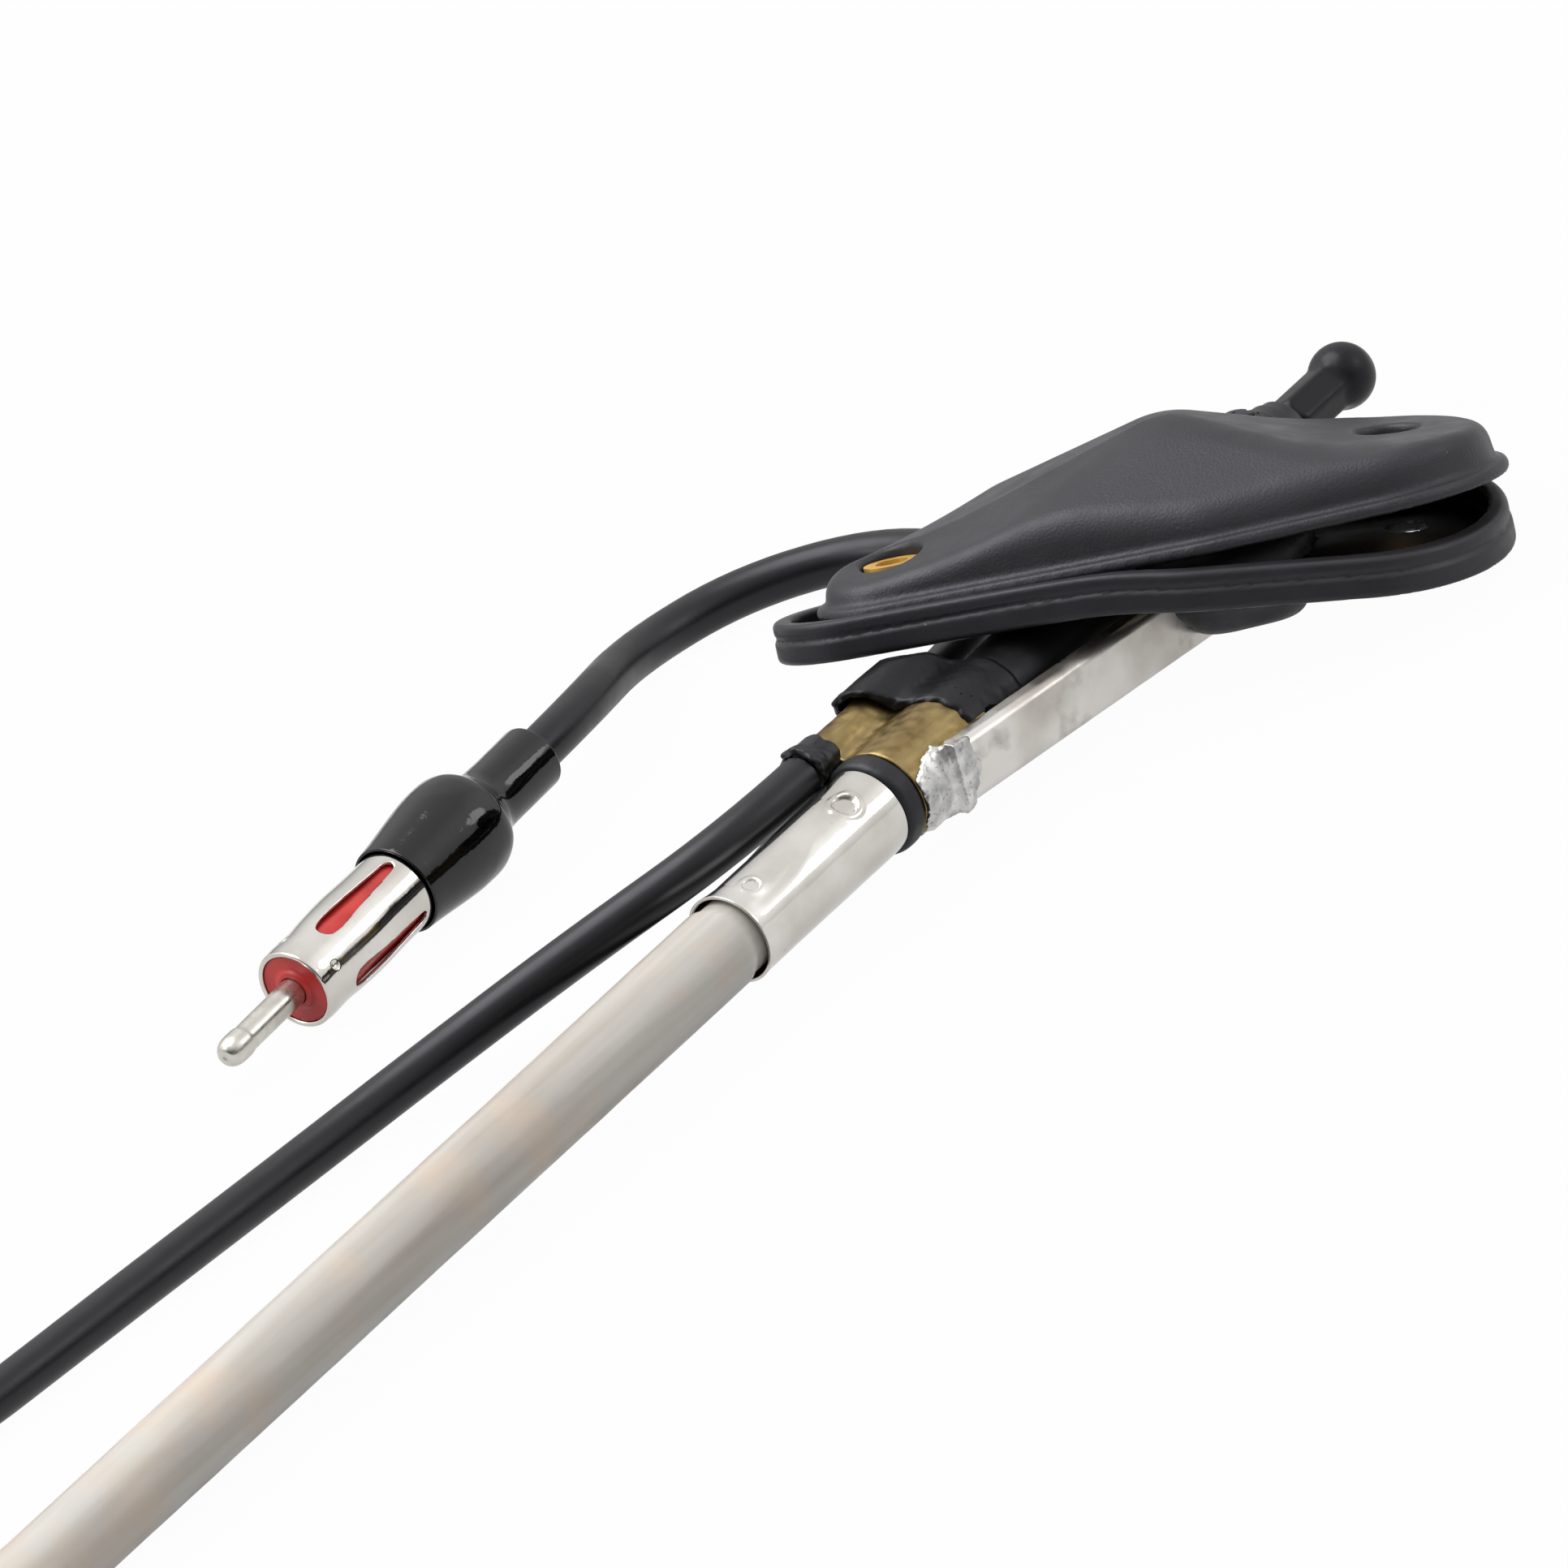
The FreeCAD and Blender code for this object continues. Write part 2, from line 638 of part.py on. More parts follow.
up, contact = resting_up()
row_x = (mast_dir - up * mast_dir.dot(up)).normalize()
row_y = up.cross(row_x)
to_row = axes_placement(contact, row_x, up).inverse()
lying = FreeCAD.BoundBox()
for shape in nodes.values():
    lying.add(placed(shape, to_row).BoundBox)
row_middle = Vector(lying.Center.x, lying.Center.y, 0)
to_row = Placement(-row_middle, Rotation()).multiply(to_row)
nodes = {name: placed(shape, to_row) for name, shape in nodes.items()}

plug_frame = axes_placement(Vector(*plug_at), Vector(0, 1, 0), plug_dir)
own = dict(nodes)
nodes.update(lead_nodes())
nodes.update({name: placed(shape, plug_frame) for name, shape in plug_nodes().items()})

os.makedirs("parts", exist_ok=True)
whole = FreeCAD.BoundBox()
for name, shape in sorted(nodes.items()):
    print(name, len(shape.Solids), round(shape.Volume, 1), shape.isValid(), [round(v, 1) for v in (
        shape.BoundBox.XMin, shape.BoundBox.XMax, shape.BoundBox.YMin, shape.BoundBox.YMax,
        shape.BoundBox.ZMin, shape.BoundBox.ZMax)])
    shape.exportStep("parts/" + name + ".step")
    if name in own:
        whole.add(shape.BoundBox)
print(whole)
print("to_row", to_row.Matrix)
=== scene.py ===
import bpy
import json
import math
import numpy as np
from mathutils import Matrix, Vector


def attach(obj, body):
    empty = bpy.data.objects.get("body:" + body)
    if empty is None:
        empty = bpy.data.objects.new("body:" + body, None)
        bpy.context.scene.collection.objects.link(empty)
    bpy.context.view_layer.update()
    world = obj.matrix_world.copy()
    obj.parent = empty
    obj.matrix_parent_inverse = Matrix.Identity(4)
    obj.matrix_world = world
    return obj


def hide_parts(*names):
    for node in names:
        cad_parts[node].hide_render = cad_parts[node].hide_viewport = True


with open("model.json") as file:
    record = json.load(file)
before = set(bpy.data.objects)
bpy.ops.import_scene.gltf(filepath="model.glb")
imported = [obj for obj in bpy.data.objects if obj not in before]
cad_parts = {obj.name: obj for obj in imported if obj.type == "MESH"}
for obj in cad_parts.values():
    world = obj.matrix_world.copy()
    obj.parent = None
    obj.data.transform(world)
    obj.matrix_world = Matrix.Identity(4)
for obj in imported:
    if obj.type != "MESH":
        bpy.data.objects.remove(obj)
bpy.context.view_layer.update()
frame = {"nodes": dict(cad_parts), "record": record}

# Lengths are in millimetres until a mesh or curve is made; the row frame is in metres.
mm = 0.001
scene = bpy.context.scene

# Camera: seen from this azimuth and elevation, and rolled as the photo is
view_azimuth = -134.94
view_elevation = 22.77
view_roll = 20.04
view_centre = (38.0, 17.6, 10.0)
# Under 48 picture widths, as views from other sides would otherwise end before the object
view_distance = 7000.0
picture_width = 161.0
sensor = 36.0
sight_length = 200.0


def direction(azimuth, elevation):
    a = math.radians(azimuth)
    e = math.radians(elevation)
    return Vector((math.cos(e) * math.cos(a), math.cos(e) * math.sin(a), math.sin(e)))


def place_camera():
    back = direction(view_azimuth, view_elevation)
    level = Vector((0, 0, 1)).cross(back).normalized()
    upright = back.cross(level)
    r = math.radians(view_roll)
    right = level * math.cos(r) - upright * math.sin(r)
    up = upright * math.cos(r) + level * math.sin(r)
    data = bpy.data.cameras.new("camera")
    data.sensor_width = sensor
    data.lens = sensor * view_distance / picture_width
    data.clip_end = sight_length
    camera = bpy.data.objects.new("camera", data)
    turn = Matrix((right, up, back)).transposed().to_4x4()
    place = (Vector(view_centre) + back * view_distance) * mm
    camera.matrix_world = Matrix.Translation(place) @ turn
    scene.collection.objects.link(camera)
    scene.camera = camera


place_camera()

# Lead: the same points as in the model, from the clamp to the coil and from the coil to the plug
lead_d = 0.0049
table_z = 0.0025
lead_to_coil = [
    (0.0349, 0.0118, 0.0126), (0.0224, 0.0118, 0.0124), (0.0064, 0.0224, 0.0084), (-0.0096, 0.0319, 0.0043),
    (-0.0276, 0.0369, table_z), (-0.0566, 0.0399, table_z), (-0.0886, 0.0429, table_z),
    (-0.1096, 0.0499, 0.006), (-0.1306, 0.0634, 0.0123)]
lead_to_plug = [
    (-0.1166, 0.0133, table_z), (-0.0636, 0.0138, table_z), (-0.0106, 0.0153, table_z),
    (0.0314, 0.0179, table_z), (0.0614, 0.0254, table_z), (0.0853, 0.0274, table_z), (0.097, 0.0376, table_z),
    (0.0991, 0.0529, table_z), (0.0906, 0.0658, table_z), (0.0757, 0.07, 0.0028), (0.0568, 0.0602, 0.0076),
    (0.0472, 0.0601, 0.0071)]
coil_at = (-0.1506, 0.0404)
coil_r = 0.027
coil_turns = 2.5
coil_pitch = 0.00495
points_per_turn = 16
# A small point size keeps the curve's bounding box close to its line
point_size = 0.001


def coil_points():
    count = int(coil_turns * points_per_turn)
    reach = coil_r / math.cos(math.pi / points_per_turn)
    points = []
    for k in range(count + 1):
        angle = math.pi / 2 + 2 * math.pi * k / points_per_turn
        z = table_z + coil_pitch * (coil_turns - k / points_per_turn)
        points.append((coil_at[0] + reach * math.cos(angle), coil_at[1] + reach * math.sin(angle), z))
    return points


def make_lead():
    data = bpy.data.curves.new("lead", "CURVE")
    data.dimensions = "3D"
    data.bevel_depth = lead_d / 2 / point_size
    data.bevel_resolution = 10
    data.resolution_u = 8
    spline = data.splines.new("NURBS")
    points = lead_to_coil + coil_points() + lead_to_plug
    spline.points.add(len(points) - 1)
    for point, place in zip(spline.points, points):
        point.co = (*place, 1.0)
        point.radius = point_size
    spline.order_u = 3
    spline.use_endpoint_u = True
    lead = bpy.data.objects.new("lead", data)
    scene.collection.objects.link(lead)
    return lead


lead = make_lead()
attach(lead, "antenna")
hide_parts("lead_cable", "plug_cable", "lead_coil")

# Base frame and mast frame, with the model's own values
screw_wells = [(7.75, 13.6), (60.3, 17.6)]
mast_azimuth = 46.2
mast_rise = 17.06
mast_roll = 63.4
bush_at = Vector((48.3, 35.9, 4.9))
bush_along = 98.4
eyelet_middle = 2.55


def mount(name):
    found = [m for m in frame["record"]["mounts"] if m["name"] == name][0]
    return Vector(found["pos_m"]) / mm, Vector(found["axis"])


def find_base_frame():
    """The base frame, x along the cover and z up from it, from the places of its two screw holes."""
    front, up = mount("front_screw_hole")
    rear, _ = mount("rear_screw_hole")
    step = (rear - front).normalized()
    (x0, y0), (x1, y1) = screw_wells
    turn = math.atan2(y1 - y0, x1 - x0)
    side = up.cross(step)
    x_axis = step * math.cos(turn) - side * math.sin(turn)
    y_axis = up.cross(x_axis)
    corner = front - x_axis * x0 - y_axis * y0 - up * eyelet_middle
    turned = Matrix((x_axis, y_axis, up)).transposed().to_4x4()
    return Matrix.Translation(corner) @ turned


def find_mast_frame():
    along = direction(mast_azimuth, mast_rise)
    left = Vector((0, 0, 1)).cross(along).normalized()
    above = along.cross(left)
    roll = math.radians(mast_roll)
    x_axis = left * math.cos(roll) + above * math.sin(roll)
    y_axis = along.cross(x_axis)
    turned = Matrix((x_axis, y_axis, along)).transposed().to_4x4()
    return Matrix.Translation(bush_at - along * bush_along) @ turned


base_frame = find_base_frame()
mast_in_base = find_mast_frame()
mast_frame = base_frame @ mast_in_base


pin_middle = -24.275


def find_plug_frame():
    """z runs from the pin back to the lead."""
    front, ahead = mount("plug_centre_pin")
    z_axis = -ahead
    x_axis = Vector((0, 1, 0))
    y_axis = z_axis.cross(x_axis).normalized()
    turned = Matrix((y_axis.cross(z_axis), y_axis, z_axis)).transposed().to_4x4()
    return Matrix.Translation(front - z_axis * pin_middle) @ turned


plug_frame = find_plug_frame()


# Meshes from distance fields, which round and blend forms as a mould does
def most(*fields):
    result = fields[0]
    for field in fields[1:]:
        result = np.maximum(result, field)
    return result


def round_max(a, b, r):
    h = np.maximum(r - np.abs(a - b), 0) / r
    return np.maximum(a, b) + h * h * r / 4


def round_min(a, b, r):
    return -round_max(-a, -b, r)


def ripple(x, y, z, size, seed=0):
    """Smooth uneven waves of about this size, between -1 and 1."""
    total = 0
    for k in range(4):
        a = seed * 1.7 + k * 2.4
        u = x * math.cos(a) + y * math.sin(a) + 0.6 * z * math.sin(1.3 * a)
        v = y * math.cos(a) - x * math.sin(a) + z * math.cos(0.7 * a)
        wave = np.sin(u * 6.28 / size * (1 + 0.31 * k) + a)
        total = total + wave * np.cos(v * 6.28 / size * (0.8 + 0.27 * k))
    return total / 3


def crossings(f):
    """Mean place of the field's sign changes in each grid cell, and the quads round each crossed edge."""
    inside = f < 0
    cells = np.array(f.shape) - 1
    total = np.zeros((*cells, 3))
    count = np.zeros(cells)
    quads = []
    index = np.arange(cells.prod()).reshape(cells)
    for d in range(3):
        others = [k for k in range(3) if k != d]
        near = [slice(None)] * 3
        far = [slice(None)] * 3
        near[d] = slice(0, -1)
        far[d] = slice(1, None)
        a = f[tuple(near)]
        b = f[tuple(far)]
        crossed = inside[tuple(near)] != inside[tuple(far)]
        share = np.where(crossed, a / np.where(crossed, a - b, 1), 0)
        for o1 in (0, 1):
            for o2 in (0, 1):
                part = [slice(None)] * 3
                part[others[0]] = slice(o1, o1 + cells[others[0]])
                part[others[1]] = slice(o2, o2 + cells[others[1]])
                c = crossed[tuple(part)]
                count += c
                total[..., d] += np.where(c, share[tuple(part)], 0)
                total[..., others[0]] += c * o1
                total[..., others[1]] += c * o2
        part = [slice(None)] * 3
        part[others[0]] = slice(1, -1)
        part[others[1]] = slice(1, -1)
        at = np.argwhere(crossed[tuple(part)])
        at[:, others] += 1
        leaves = inside[tuple(near)][tuple(at.T)]
        corners = []
        for o1, o2 in ((-1, -1), (0, -1), (0, 0), (-1, 0)):
            moved = at.copy()
            moved[:, others[0]] += o1
            moved[:, others[1]] += o2
            corners.append(index[tuple(moved.T)])
        faces = np.stack(corners, 1)
        flip = leaves if d == 1 else ~leaves
        faces[flip] = faces[flip][:, ::-1]
        quads.append(faces)
    place = total / np.maximum(count, 1)[..., None] + np.stack(np.meshgrid(
        *[np.arange(n) for n in cells], indexing="ij"), -1)
    return place.reshape(-1, 3), np.concatenate(quads)


def gradient(field, p, h):
    slope = np.empty_like(p)
    for d in range(3):
        step = np.zeros(3)
        step[d] = h
        ahead = p + step
        back = p - step
        slope[:, d] = (field(*ahead.T) - field(*back.T)) / (2 * h)
    return slope


def shape_from(name, field, low, high, step, place):
    """A smooth closed mesh of a field's zero surface."""
    axes = [np.arange(a, b + step, step) for a, b in zip(low, high)]
    grid = np.meshgrid(*axes, indexing="ij")
    points, quads = crossings(field(*grid))
    used, faces = np.unique(quads, return_inverse=True)
    faces = faces.reshape(-1, 4)
    p = points[used] * step + np.array(low)
    for _ in range(3):
        value = field(*p.T)
        slope = gradient(field, p, step / 8)
        size = np.maximum((slope ** 2).sum(1), 0.05)
        move = slope * (value / size)[:, None]
        p = p - np.clip(move, -step / 2, step / 2)
    normals = gradient(field, p, step / 5)
    normals /= np.maximum(np.linalg.norm(normals, axis=1), 1e-6)[:, None]
    return make_mesh(name, p, faces, place, normals)


def make_mesh(name, points, faces, place, normals=None):
    """A mesh in the row frame from points in another frame's millimetres."""
    m = np.array(place)
    moved = (points @ m[:3, :3].T + m[:3, 3]) * mm
    data = bpy.data.meshes.new(name)
    data.from_pydata(moved.tolist(), [], np.asarray(faces).tolist())
    data.polygons.foreach_set("use_smooth", [True] * len(data.polygons))
    if normals is not None:
        data.normals_split_custom_set_from_vertices((normals @ m[:3, :3].T).tolist())
    thing = bpy.data.objects.new(name, data)
    scene.collection.objects.link(thing)
    return thing


def rounded(corners, r=0.3, steps=5):
    """A closed line through (radius, along) corners, with each corner rounded."""
    line = []
    count = len(corners)
    for k in range(count):
        here = np.array(corners[k][:2], float)
        back = np.array(corners[k - 1][:2], float) - here
        ahead = np.array(corners[(k + 1) % count][:2], float) - here
        reach = corners[k][2] if len(corners[k]) > 2 else r
        a = here + back / np.linalg.norm(back) * min(reach, np.linalg.norm(back) * 0.48)
        b = here + ahead / np.linalg.norm(ahead) * min(reach, np.linalg.norm(ahead) * 0.48)
        if here[0] == 0 or reach == 0:
            line.append(here)
            continue
        for i in range(steps + 1):
            t = i / steps
            line.append(a * (1 - t) ** 2 + here * 2 * t * (1 - t) + b * t ** 2)
    return np.array(line)


def lathe(name, corners, place, r=0.3, around=96, bend=None):
    """A closed line turned round the z axis. bend(angle, along) may push a point outwards."""
    line = rounded(corners, r)
    angles = np.linspace(0, 2 * math.pi, around, endpoint=False)
    a, k = np.meshgrid(angles, np.arange(len(line)), indexing="ij")
    radius = line[k, 0]
    along = line[k, 1]
    if bend is not None:
        radius = np.where(radius > 0, radius + bend(a, along, radius), 0)
    points = np.stack([radius * np.cos(a), radius * np.sin(a), along], -1).reshape(-1, 3)
    n = len(line)
    i, j = np.meshgrid(np.arange(around), np.arange(n), indexing="ij")
    here = i * n + j
    side = ((i + 1) % around) * n + j
    up = i * n + (j + 1) % n
    cross = ((i + 1) % around) * n + (j + 1) % n
    faces = np.stack([here, up, cross, side], -1).reshape(-1, 4)
    return make_mesh(name, points, faces, place)


def surface_ripple(a, s, r, size, seed):
    """The ripple at a turned surface's angle, place along the axis and radius."""
    return ripple(r * np.cos(a), r * np.sin(a), s, size, seed)


def ring_line(low, high, inner, outer, pitch):
    """Corners of a long tube wall, with rows every pitch so that it can bend."""
    rows = [(inner, low), (outer, low)]
    for along in np.arange(low + pitch, high - pitch / 2, pitch):
        rows.append((outer, along, 0))
    return rows + [(outer, high), (inner, high)]


# Materials: procedural colour, roughness and relief in the row frame's coordinates
def linear(code):
    values = [int(code[k:k + 2], 16) / 255 for k in (1, 3, 5)]
    return (*[v / 12.92 if v < 0.04045 else ((v + 0.055) / 1.055) ** 2.4 for v in values], 1.0)


class Paint:
    """A material built up from noise layers; sizes are in millimetres."""

    def __init__(self, name, roughness=0.5, metallic=0.0, specular=0.5, tint=(1, 1, 1, 1)):
        self.material = bpy.data.materials.new(name)
        self.material.use_nodes = True
        self.tree = self.material.node_tree
        self.surface = self.tree.nodes["Principled BSDF"]
        self.surface.inputs["Metallic"].default_value = metallic
        self.surface.inputs["Specular IOR Level"].default_value = specular
        self.surface.inputs["Specular Tint"].default_value = tint
        self.surface.inputs["Roughness"].default_value = roughness
        self.where = self.tree.nodes.new("ShaderNodeTexCoord").outputs["Object"]
        self.normal = None

    def node(self, kind, **values):
        made = self.tree.nodes.new(kind)
        for key, value in values.items():
            setattr(made, key, value)
        return made

    def link(self, a, b):
        self.tree.links.new(a, b)

    def noise(self, size, detail=3.0, stretch=None, low=0.35, high=0.65, where=None):
        """Noise cut to a range, as a value from 0 to 1."""
        where = where or self.where
        if stretch is not None:
            mapping = self.node("ShaderNodeMapping")
            mapping.inputs["Rotation"].default_value = stretch[0]
            mapping.inputs["Scale"].default_value = stretch[1]
            self.link(where, mapping.inputs["Vector"])
            where = mapping.outputs["Vector"]
        made = self.node("ShaderNodeTexNoise")
        made.inputs["Scale"].default_value = 1.0 / (size * mm)
        made.inputs["Detail"].default_value = detail
        self.link(where, made.inputs["Vector"])
        return self.ramp(made.outputs["Fac"], low, high)

    def specks(self, size, radius):
        """Small round dots, 1 in a dot and 0 outside."""
        made = self.node("ShaderNodeTexVoronoi")
        made.inputs["Scale"].default_value = 1.0 / (size * mm)
        self.link(self.where, made.inputs["Vector"])
        return self.ramp(made.outputs["Distance"], radius, radius * 0.4)

    def ramp(self, value, low, high):
        made = self.node("ShaderNodeMapRange")
        made.inputs["From Min"].default_value = low
        made.inputs["From Max"].default_value = high
        self.link(value, made.inputs["Value"])
        return made.outputs["Result"]

    def mix(self, share, a, b):
        made = self.node("ShaderNodeMix", data_type="RGBA")
        for value, socket in ((a, made.inputs[6]), (b, made.inputs[7])):
            if isinstance(value, tuple):
                socket.default_value = value
            else:
                self.link(value, socket)
        self.link(share, made.inputs[0])
        return made.outputs[2]

    def times(self, a, b):
        made = self.node("ShaderNodeMath", operation="MULTIPLY")
        for value, socket in ((a, made.inputs[0]), (b, made.inputs[1])):
            if isinstance(value, float):
                socket.default_value = value
            else:
                self.link(value, socket)
        return made.outputs[0]

    def colour(self, value):
        self.link(value, self.surface.inputs["Base Color"])

    def roughness(self, share, low, high):
        made = self.node("ShaderNodeMapRange")
        made.inputs["To Min"].default_value = low
        made.inputs["To Max"].default_value = high
        self.link(share, made.inputs["Value"])
        self.link(made.outputs["Result"], self.surface.inputs["Roughness"])

    def relief(self, height, depth, strength=1.0):
        made = self.node("ShaderNodeBump")
        made.inputs["Distance"].default_value = depth * mm
        made.inputs["Strength"].default_value = strength
        self.link(height, made.inputs["Height"])
        if self.normal is not None:
            self.link(self.normal, made.inputs["Normal"])
        self.normal = made.outputs["Normal"]
        self.link(self.normal, self.surface.inputs["Normal"])


def moulded(name, dark, light, grain=0.5, depth=0.03, rough=(0.45, 0.62), dust=0.0, specular=0.5):
    """A black moulding with a fine grain, faint patches and some dust."""
    paint = Paint(name, specular=specular, tint=(0.92, 0.92, 1.0, 1))
    patches = paint.noise(14.0, 4.0)
    body = paint.mix(patches, linear(dark), linear(light))
    if dust:
        dots = paint.times(paint.specks(2.6, 0.06), paint.noise(9.0, 2.0, low=0.52, high=0.7))
        body = paint.mix(paint.times(dots, dust), body, linear("#a8a49c"))
    paint.colour(body)
    paint.roughness(paint.noise(4.0, 4.0), *rough)
    paint.relief(paint.noise(grain, 2.0, low=0.3, high=0.7), depth)
    return paint.material


def plated(name, bright, dull, rough=(0.08, 0.2), size=6.0, spots=0.0):
    paint = Paint(name, metallic=1.0)
    body = paint.mix(paint.noise(size, 5.0), linear(bright), linear(dull))
    if spots:
        dots = paint.times(paint.specks(3.2, 0.1), paint.noise(6.0, 2.0, low=0.5, high=0.65))
        body = paint.mix(paint.times(dots, spots), body, linear("#4a443a"))
    paint.colour(body)
    paint.roughness(paint.noise(size * 0.6, 5.0), *rough)
    paint.relief(paint.noise(2.5, 3.0), 0.006)
    return paint.material


lengthwise = ((0, 0, 0), (0.12, 1, 1))


def brass_look(name, bright, dull, stained, metallic):
    """Rolled brass with streaks along the mast and brown stains."""
    paint = Paint(name, metallic=metallic)
    streaks = paint.noise(1.6, 5.0, stretch=lengthwise, low=0.3, high=0.7)
    body = paint.mix(streaks, linear(bright), linear(dull))
    stain = paint.noise(5.0, 6.0, low=0.47, high=0.66)
    body = paint.mix(paint.times(stain, 0.85), body, linear(stained))
    paint.colour(body)
    paint.roughness(paint.noise(1.5, 5.0), 0.34, 0.55)
    paint.relief(streaks, 0.012)
    return paint.material


def solder_look():
    """Dull silver with a fine frosty grain and some smooth bright pools."""
    paint = Paint("solder", metallic=1.0)
    body = paint.mix(paint.noise(2.4, 6.0), linear("#e9e8e7"), linear("#a9a8a8"))
    pits = paint.noise(0.5, 3.0, low=0.58, high=0.66)
    paint.colour(paint.mix(paint.times(pits, 0.5), body, linear("#6b6a69")))
    paint.roughness(paint.noise(1.5, 5.0), 0.25, 0.5)
    paint.relief(paint.noise(0.6, 4.0), 0.012)
    return paint.material


def sheet_look():
    """Rubbed nickel-plated sheet with smudges and long fine scratches."""
    paint = Paint("rubbed_sheet", metallic=1.0)
    body = paint.mix(paint.noise(9.0, 6.0, low=0.4, high=0.7), linear("#dbd7d2"), linear("#b5afa7"))
    smudge = paint.noise(5.0, 7.0, low=0.56, high=0.72)
    body = paint.mix(paint.times(smudge, 0.6), body, linear("#7c766e"))
    paint.colour(body)
    paint.roughness(paint.noise(4.0, 6.0), 0.28, 0.42)
    paint.relief(paint.noise(1.0, 3.0, stretch=((0, 0, 0), (0.05, 1, 1))), 0.008)
    return paint.material


def milky_look():
    """Milky tube wall that lets some light through, with long brownish bands."""
    paint = Paint("milky_tube", specular=0.4)
    bands = paint.noise(4.2, 3.0, stretch=((0, 0, 0), (0.06, 1, 1)), low=0.36, high=0.66)
    body = paint.mix(bands, linear("#bab7b1"), linear("#9d948b"))
    body = paint.mix(paint.times(paint.noise(11.0, 5.0, low=0.5, high=0.7), 0.5), body, linear("#c2ac98"))
    paint.colour(body)
    paint.roughness(paint.noise(5.0, 4.0), 0.28, 0.4)
    paint.surface.inputs["Subsurface Weight"].default_value = 0.5
    paint.surface.inputs["Subsurface Radius"].default_value = (1.0, 0.95, 0.85)
    paint.surface.inputs["Subsurface Scale"].default_value = 2.0 * mm
    paint.relief(bands, 0.02)
    return paint.material


def glossy(name, dark, light, rough=(0.16, 0.3), depth=0.01, size=5.0):
    paint = Paint(name)
    paint.colour(paint.mix(paint.noise(size, 4.0), linear(dark), linear(light)))
    paint.roughness(paint.noise(size * 0.7, 4.0), *rough)
    paint.relief(paint.noise(1.8, 4.0), depth)
    return paint.material


looks = {
    "cover": moulded("cover_moulding", "#1d1d20", "#232326", 0.3, 0.02, (0.4, 0.5), 0.3, 0.45),
    "gasket": moulded("gasket_rubber", "#17171a", "#1e1e21", 0.8, 0.01, (0.4, 0.5), 0.5, 0.45),
    "boss": moulded("boss_moulding", "#1a1a1c", "#212123", 0.6, 0.02, (0.4, 0.6)),
    "black_plastic": moulded("black_moulding", "#0d0d0e", "#131314", 0.5, 0.01, (0.3, 0.42)),
    "tip": moulded("tip_moulding", "#0b0b0c", "#101012", 0.6, 0.01, (0.28, 0.42), 0.15, 0.25),
    "shrink": moulded("shrunk_sleeving", "#050506", "#0a0a0b", 1.2, 0.012, (0.32, 0.44), 0.1, 0.3),
    "ring": moulded("ring_rubber", "#0c0d0d", "#131414", 0.7, 0.02, (0.4, 0.56), 0.2, 0.4),
    "lead": moulded("lead_jacket", "#09090a", "#0f0f10", 1.5, 0.004, (0.32, 0.4), 0.12, 0.4),
    "brass": brass_look("aged_brass", "#9c8a60", "#6f5a35", "#4f3a20", 1.0),
    "plate": brass_look("plate_brass", "#e8c06a", "#cf9f45", "#9a7430", 0.55),
    "nickel": plated("nickel_plate", "#dedbd6", "#c9c4bd", (0.06, 0.14), 9.0, 0.25),
    "steel": sheet_look(),
    "chrome": plated("polished_mast", "#e8e8e8", "#d8d8d8", (0.05, 0.1)),
    "solder": solder_look(),
    "drain": milky_look(),
    "boot": glossy("boot_gloss", "#030304", "#060607", (0.04, 0.09), 0.012),
    "insulator": glossy("red_insulator", "#a81c1a", "#be2f2a", (0.3, 0.42), 0.01),
    "pin": plated("pin_plate", "#d9d6cf", "#bdb9b0", (0.18, 0.34), 3.0, 0.2),
}


def dress(thing, look):
    thing.data.materials.clear()
    thing.data.materials.append(looks[look])


def finish_piece(thing, look, slot, *nodes, body="antenna"):
    dress(thing, look)
    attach(thing, body)
    if nodes:
        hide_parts(*nodes)
    return thing


dress(lead, "lead")


# Cover, in the base frame
cover_circles = [(6.5, 12.5, 6.5), (40.0, 12.0, 12.0), (56.5, 15.5, 14.5), (37.0, 29.5, 10.5)]
nose_z = 4.5
nose_rise = 0.05
foot_z = 2.3
peak_x = 38.3
peak_z = 13.4
dip_x = 54.0
dip_z = 7.0
rear_x = 80.0
rear_z = 4.3
nose_lean = 0.17
nose_lean_y = 16.0
shoulder_z = 4.2
flank_slope = 0.64
ridge_sum = 35.5
cover_wall = 1.6
draft = 1.8 / 15.0
snout_start = 84.0
snout_r = 5.4
bush_r = 3.9
flange_r = 4.25
flange = 1.2
insulator_r = 4.95
insulator_top = 86.2
push_fit = 0.02
flange_room = 0.2
well_r = 3.3
well_wall = 1.1
into_mast = np.array(mast_in_base.inverted())
out_of_mast = np.array(mast_in_base)


def moved_into(m, x, y, z):
    """The three coordinates that a matrix gives a point."""
    return [m[k, 0] * x + m[k, 1] * y + m[k, 2] * z + m[k, 3] for k in range(3)]


def mast_place(x, y, z):
    """Distance from the mast axis and place along it, for base frame points."""
    u, v, s = moved_into(into_mast, x, y, z)
    return np.hypot(u, v), s


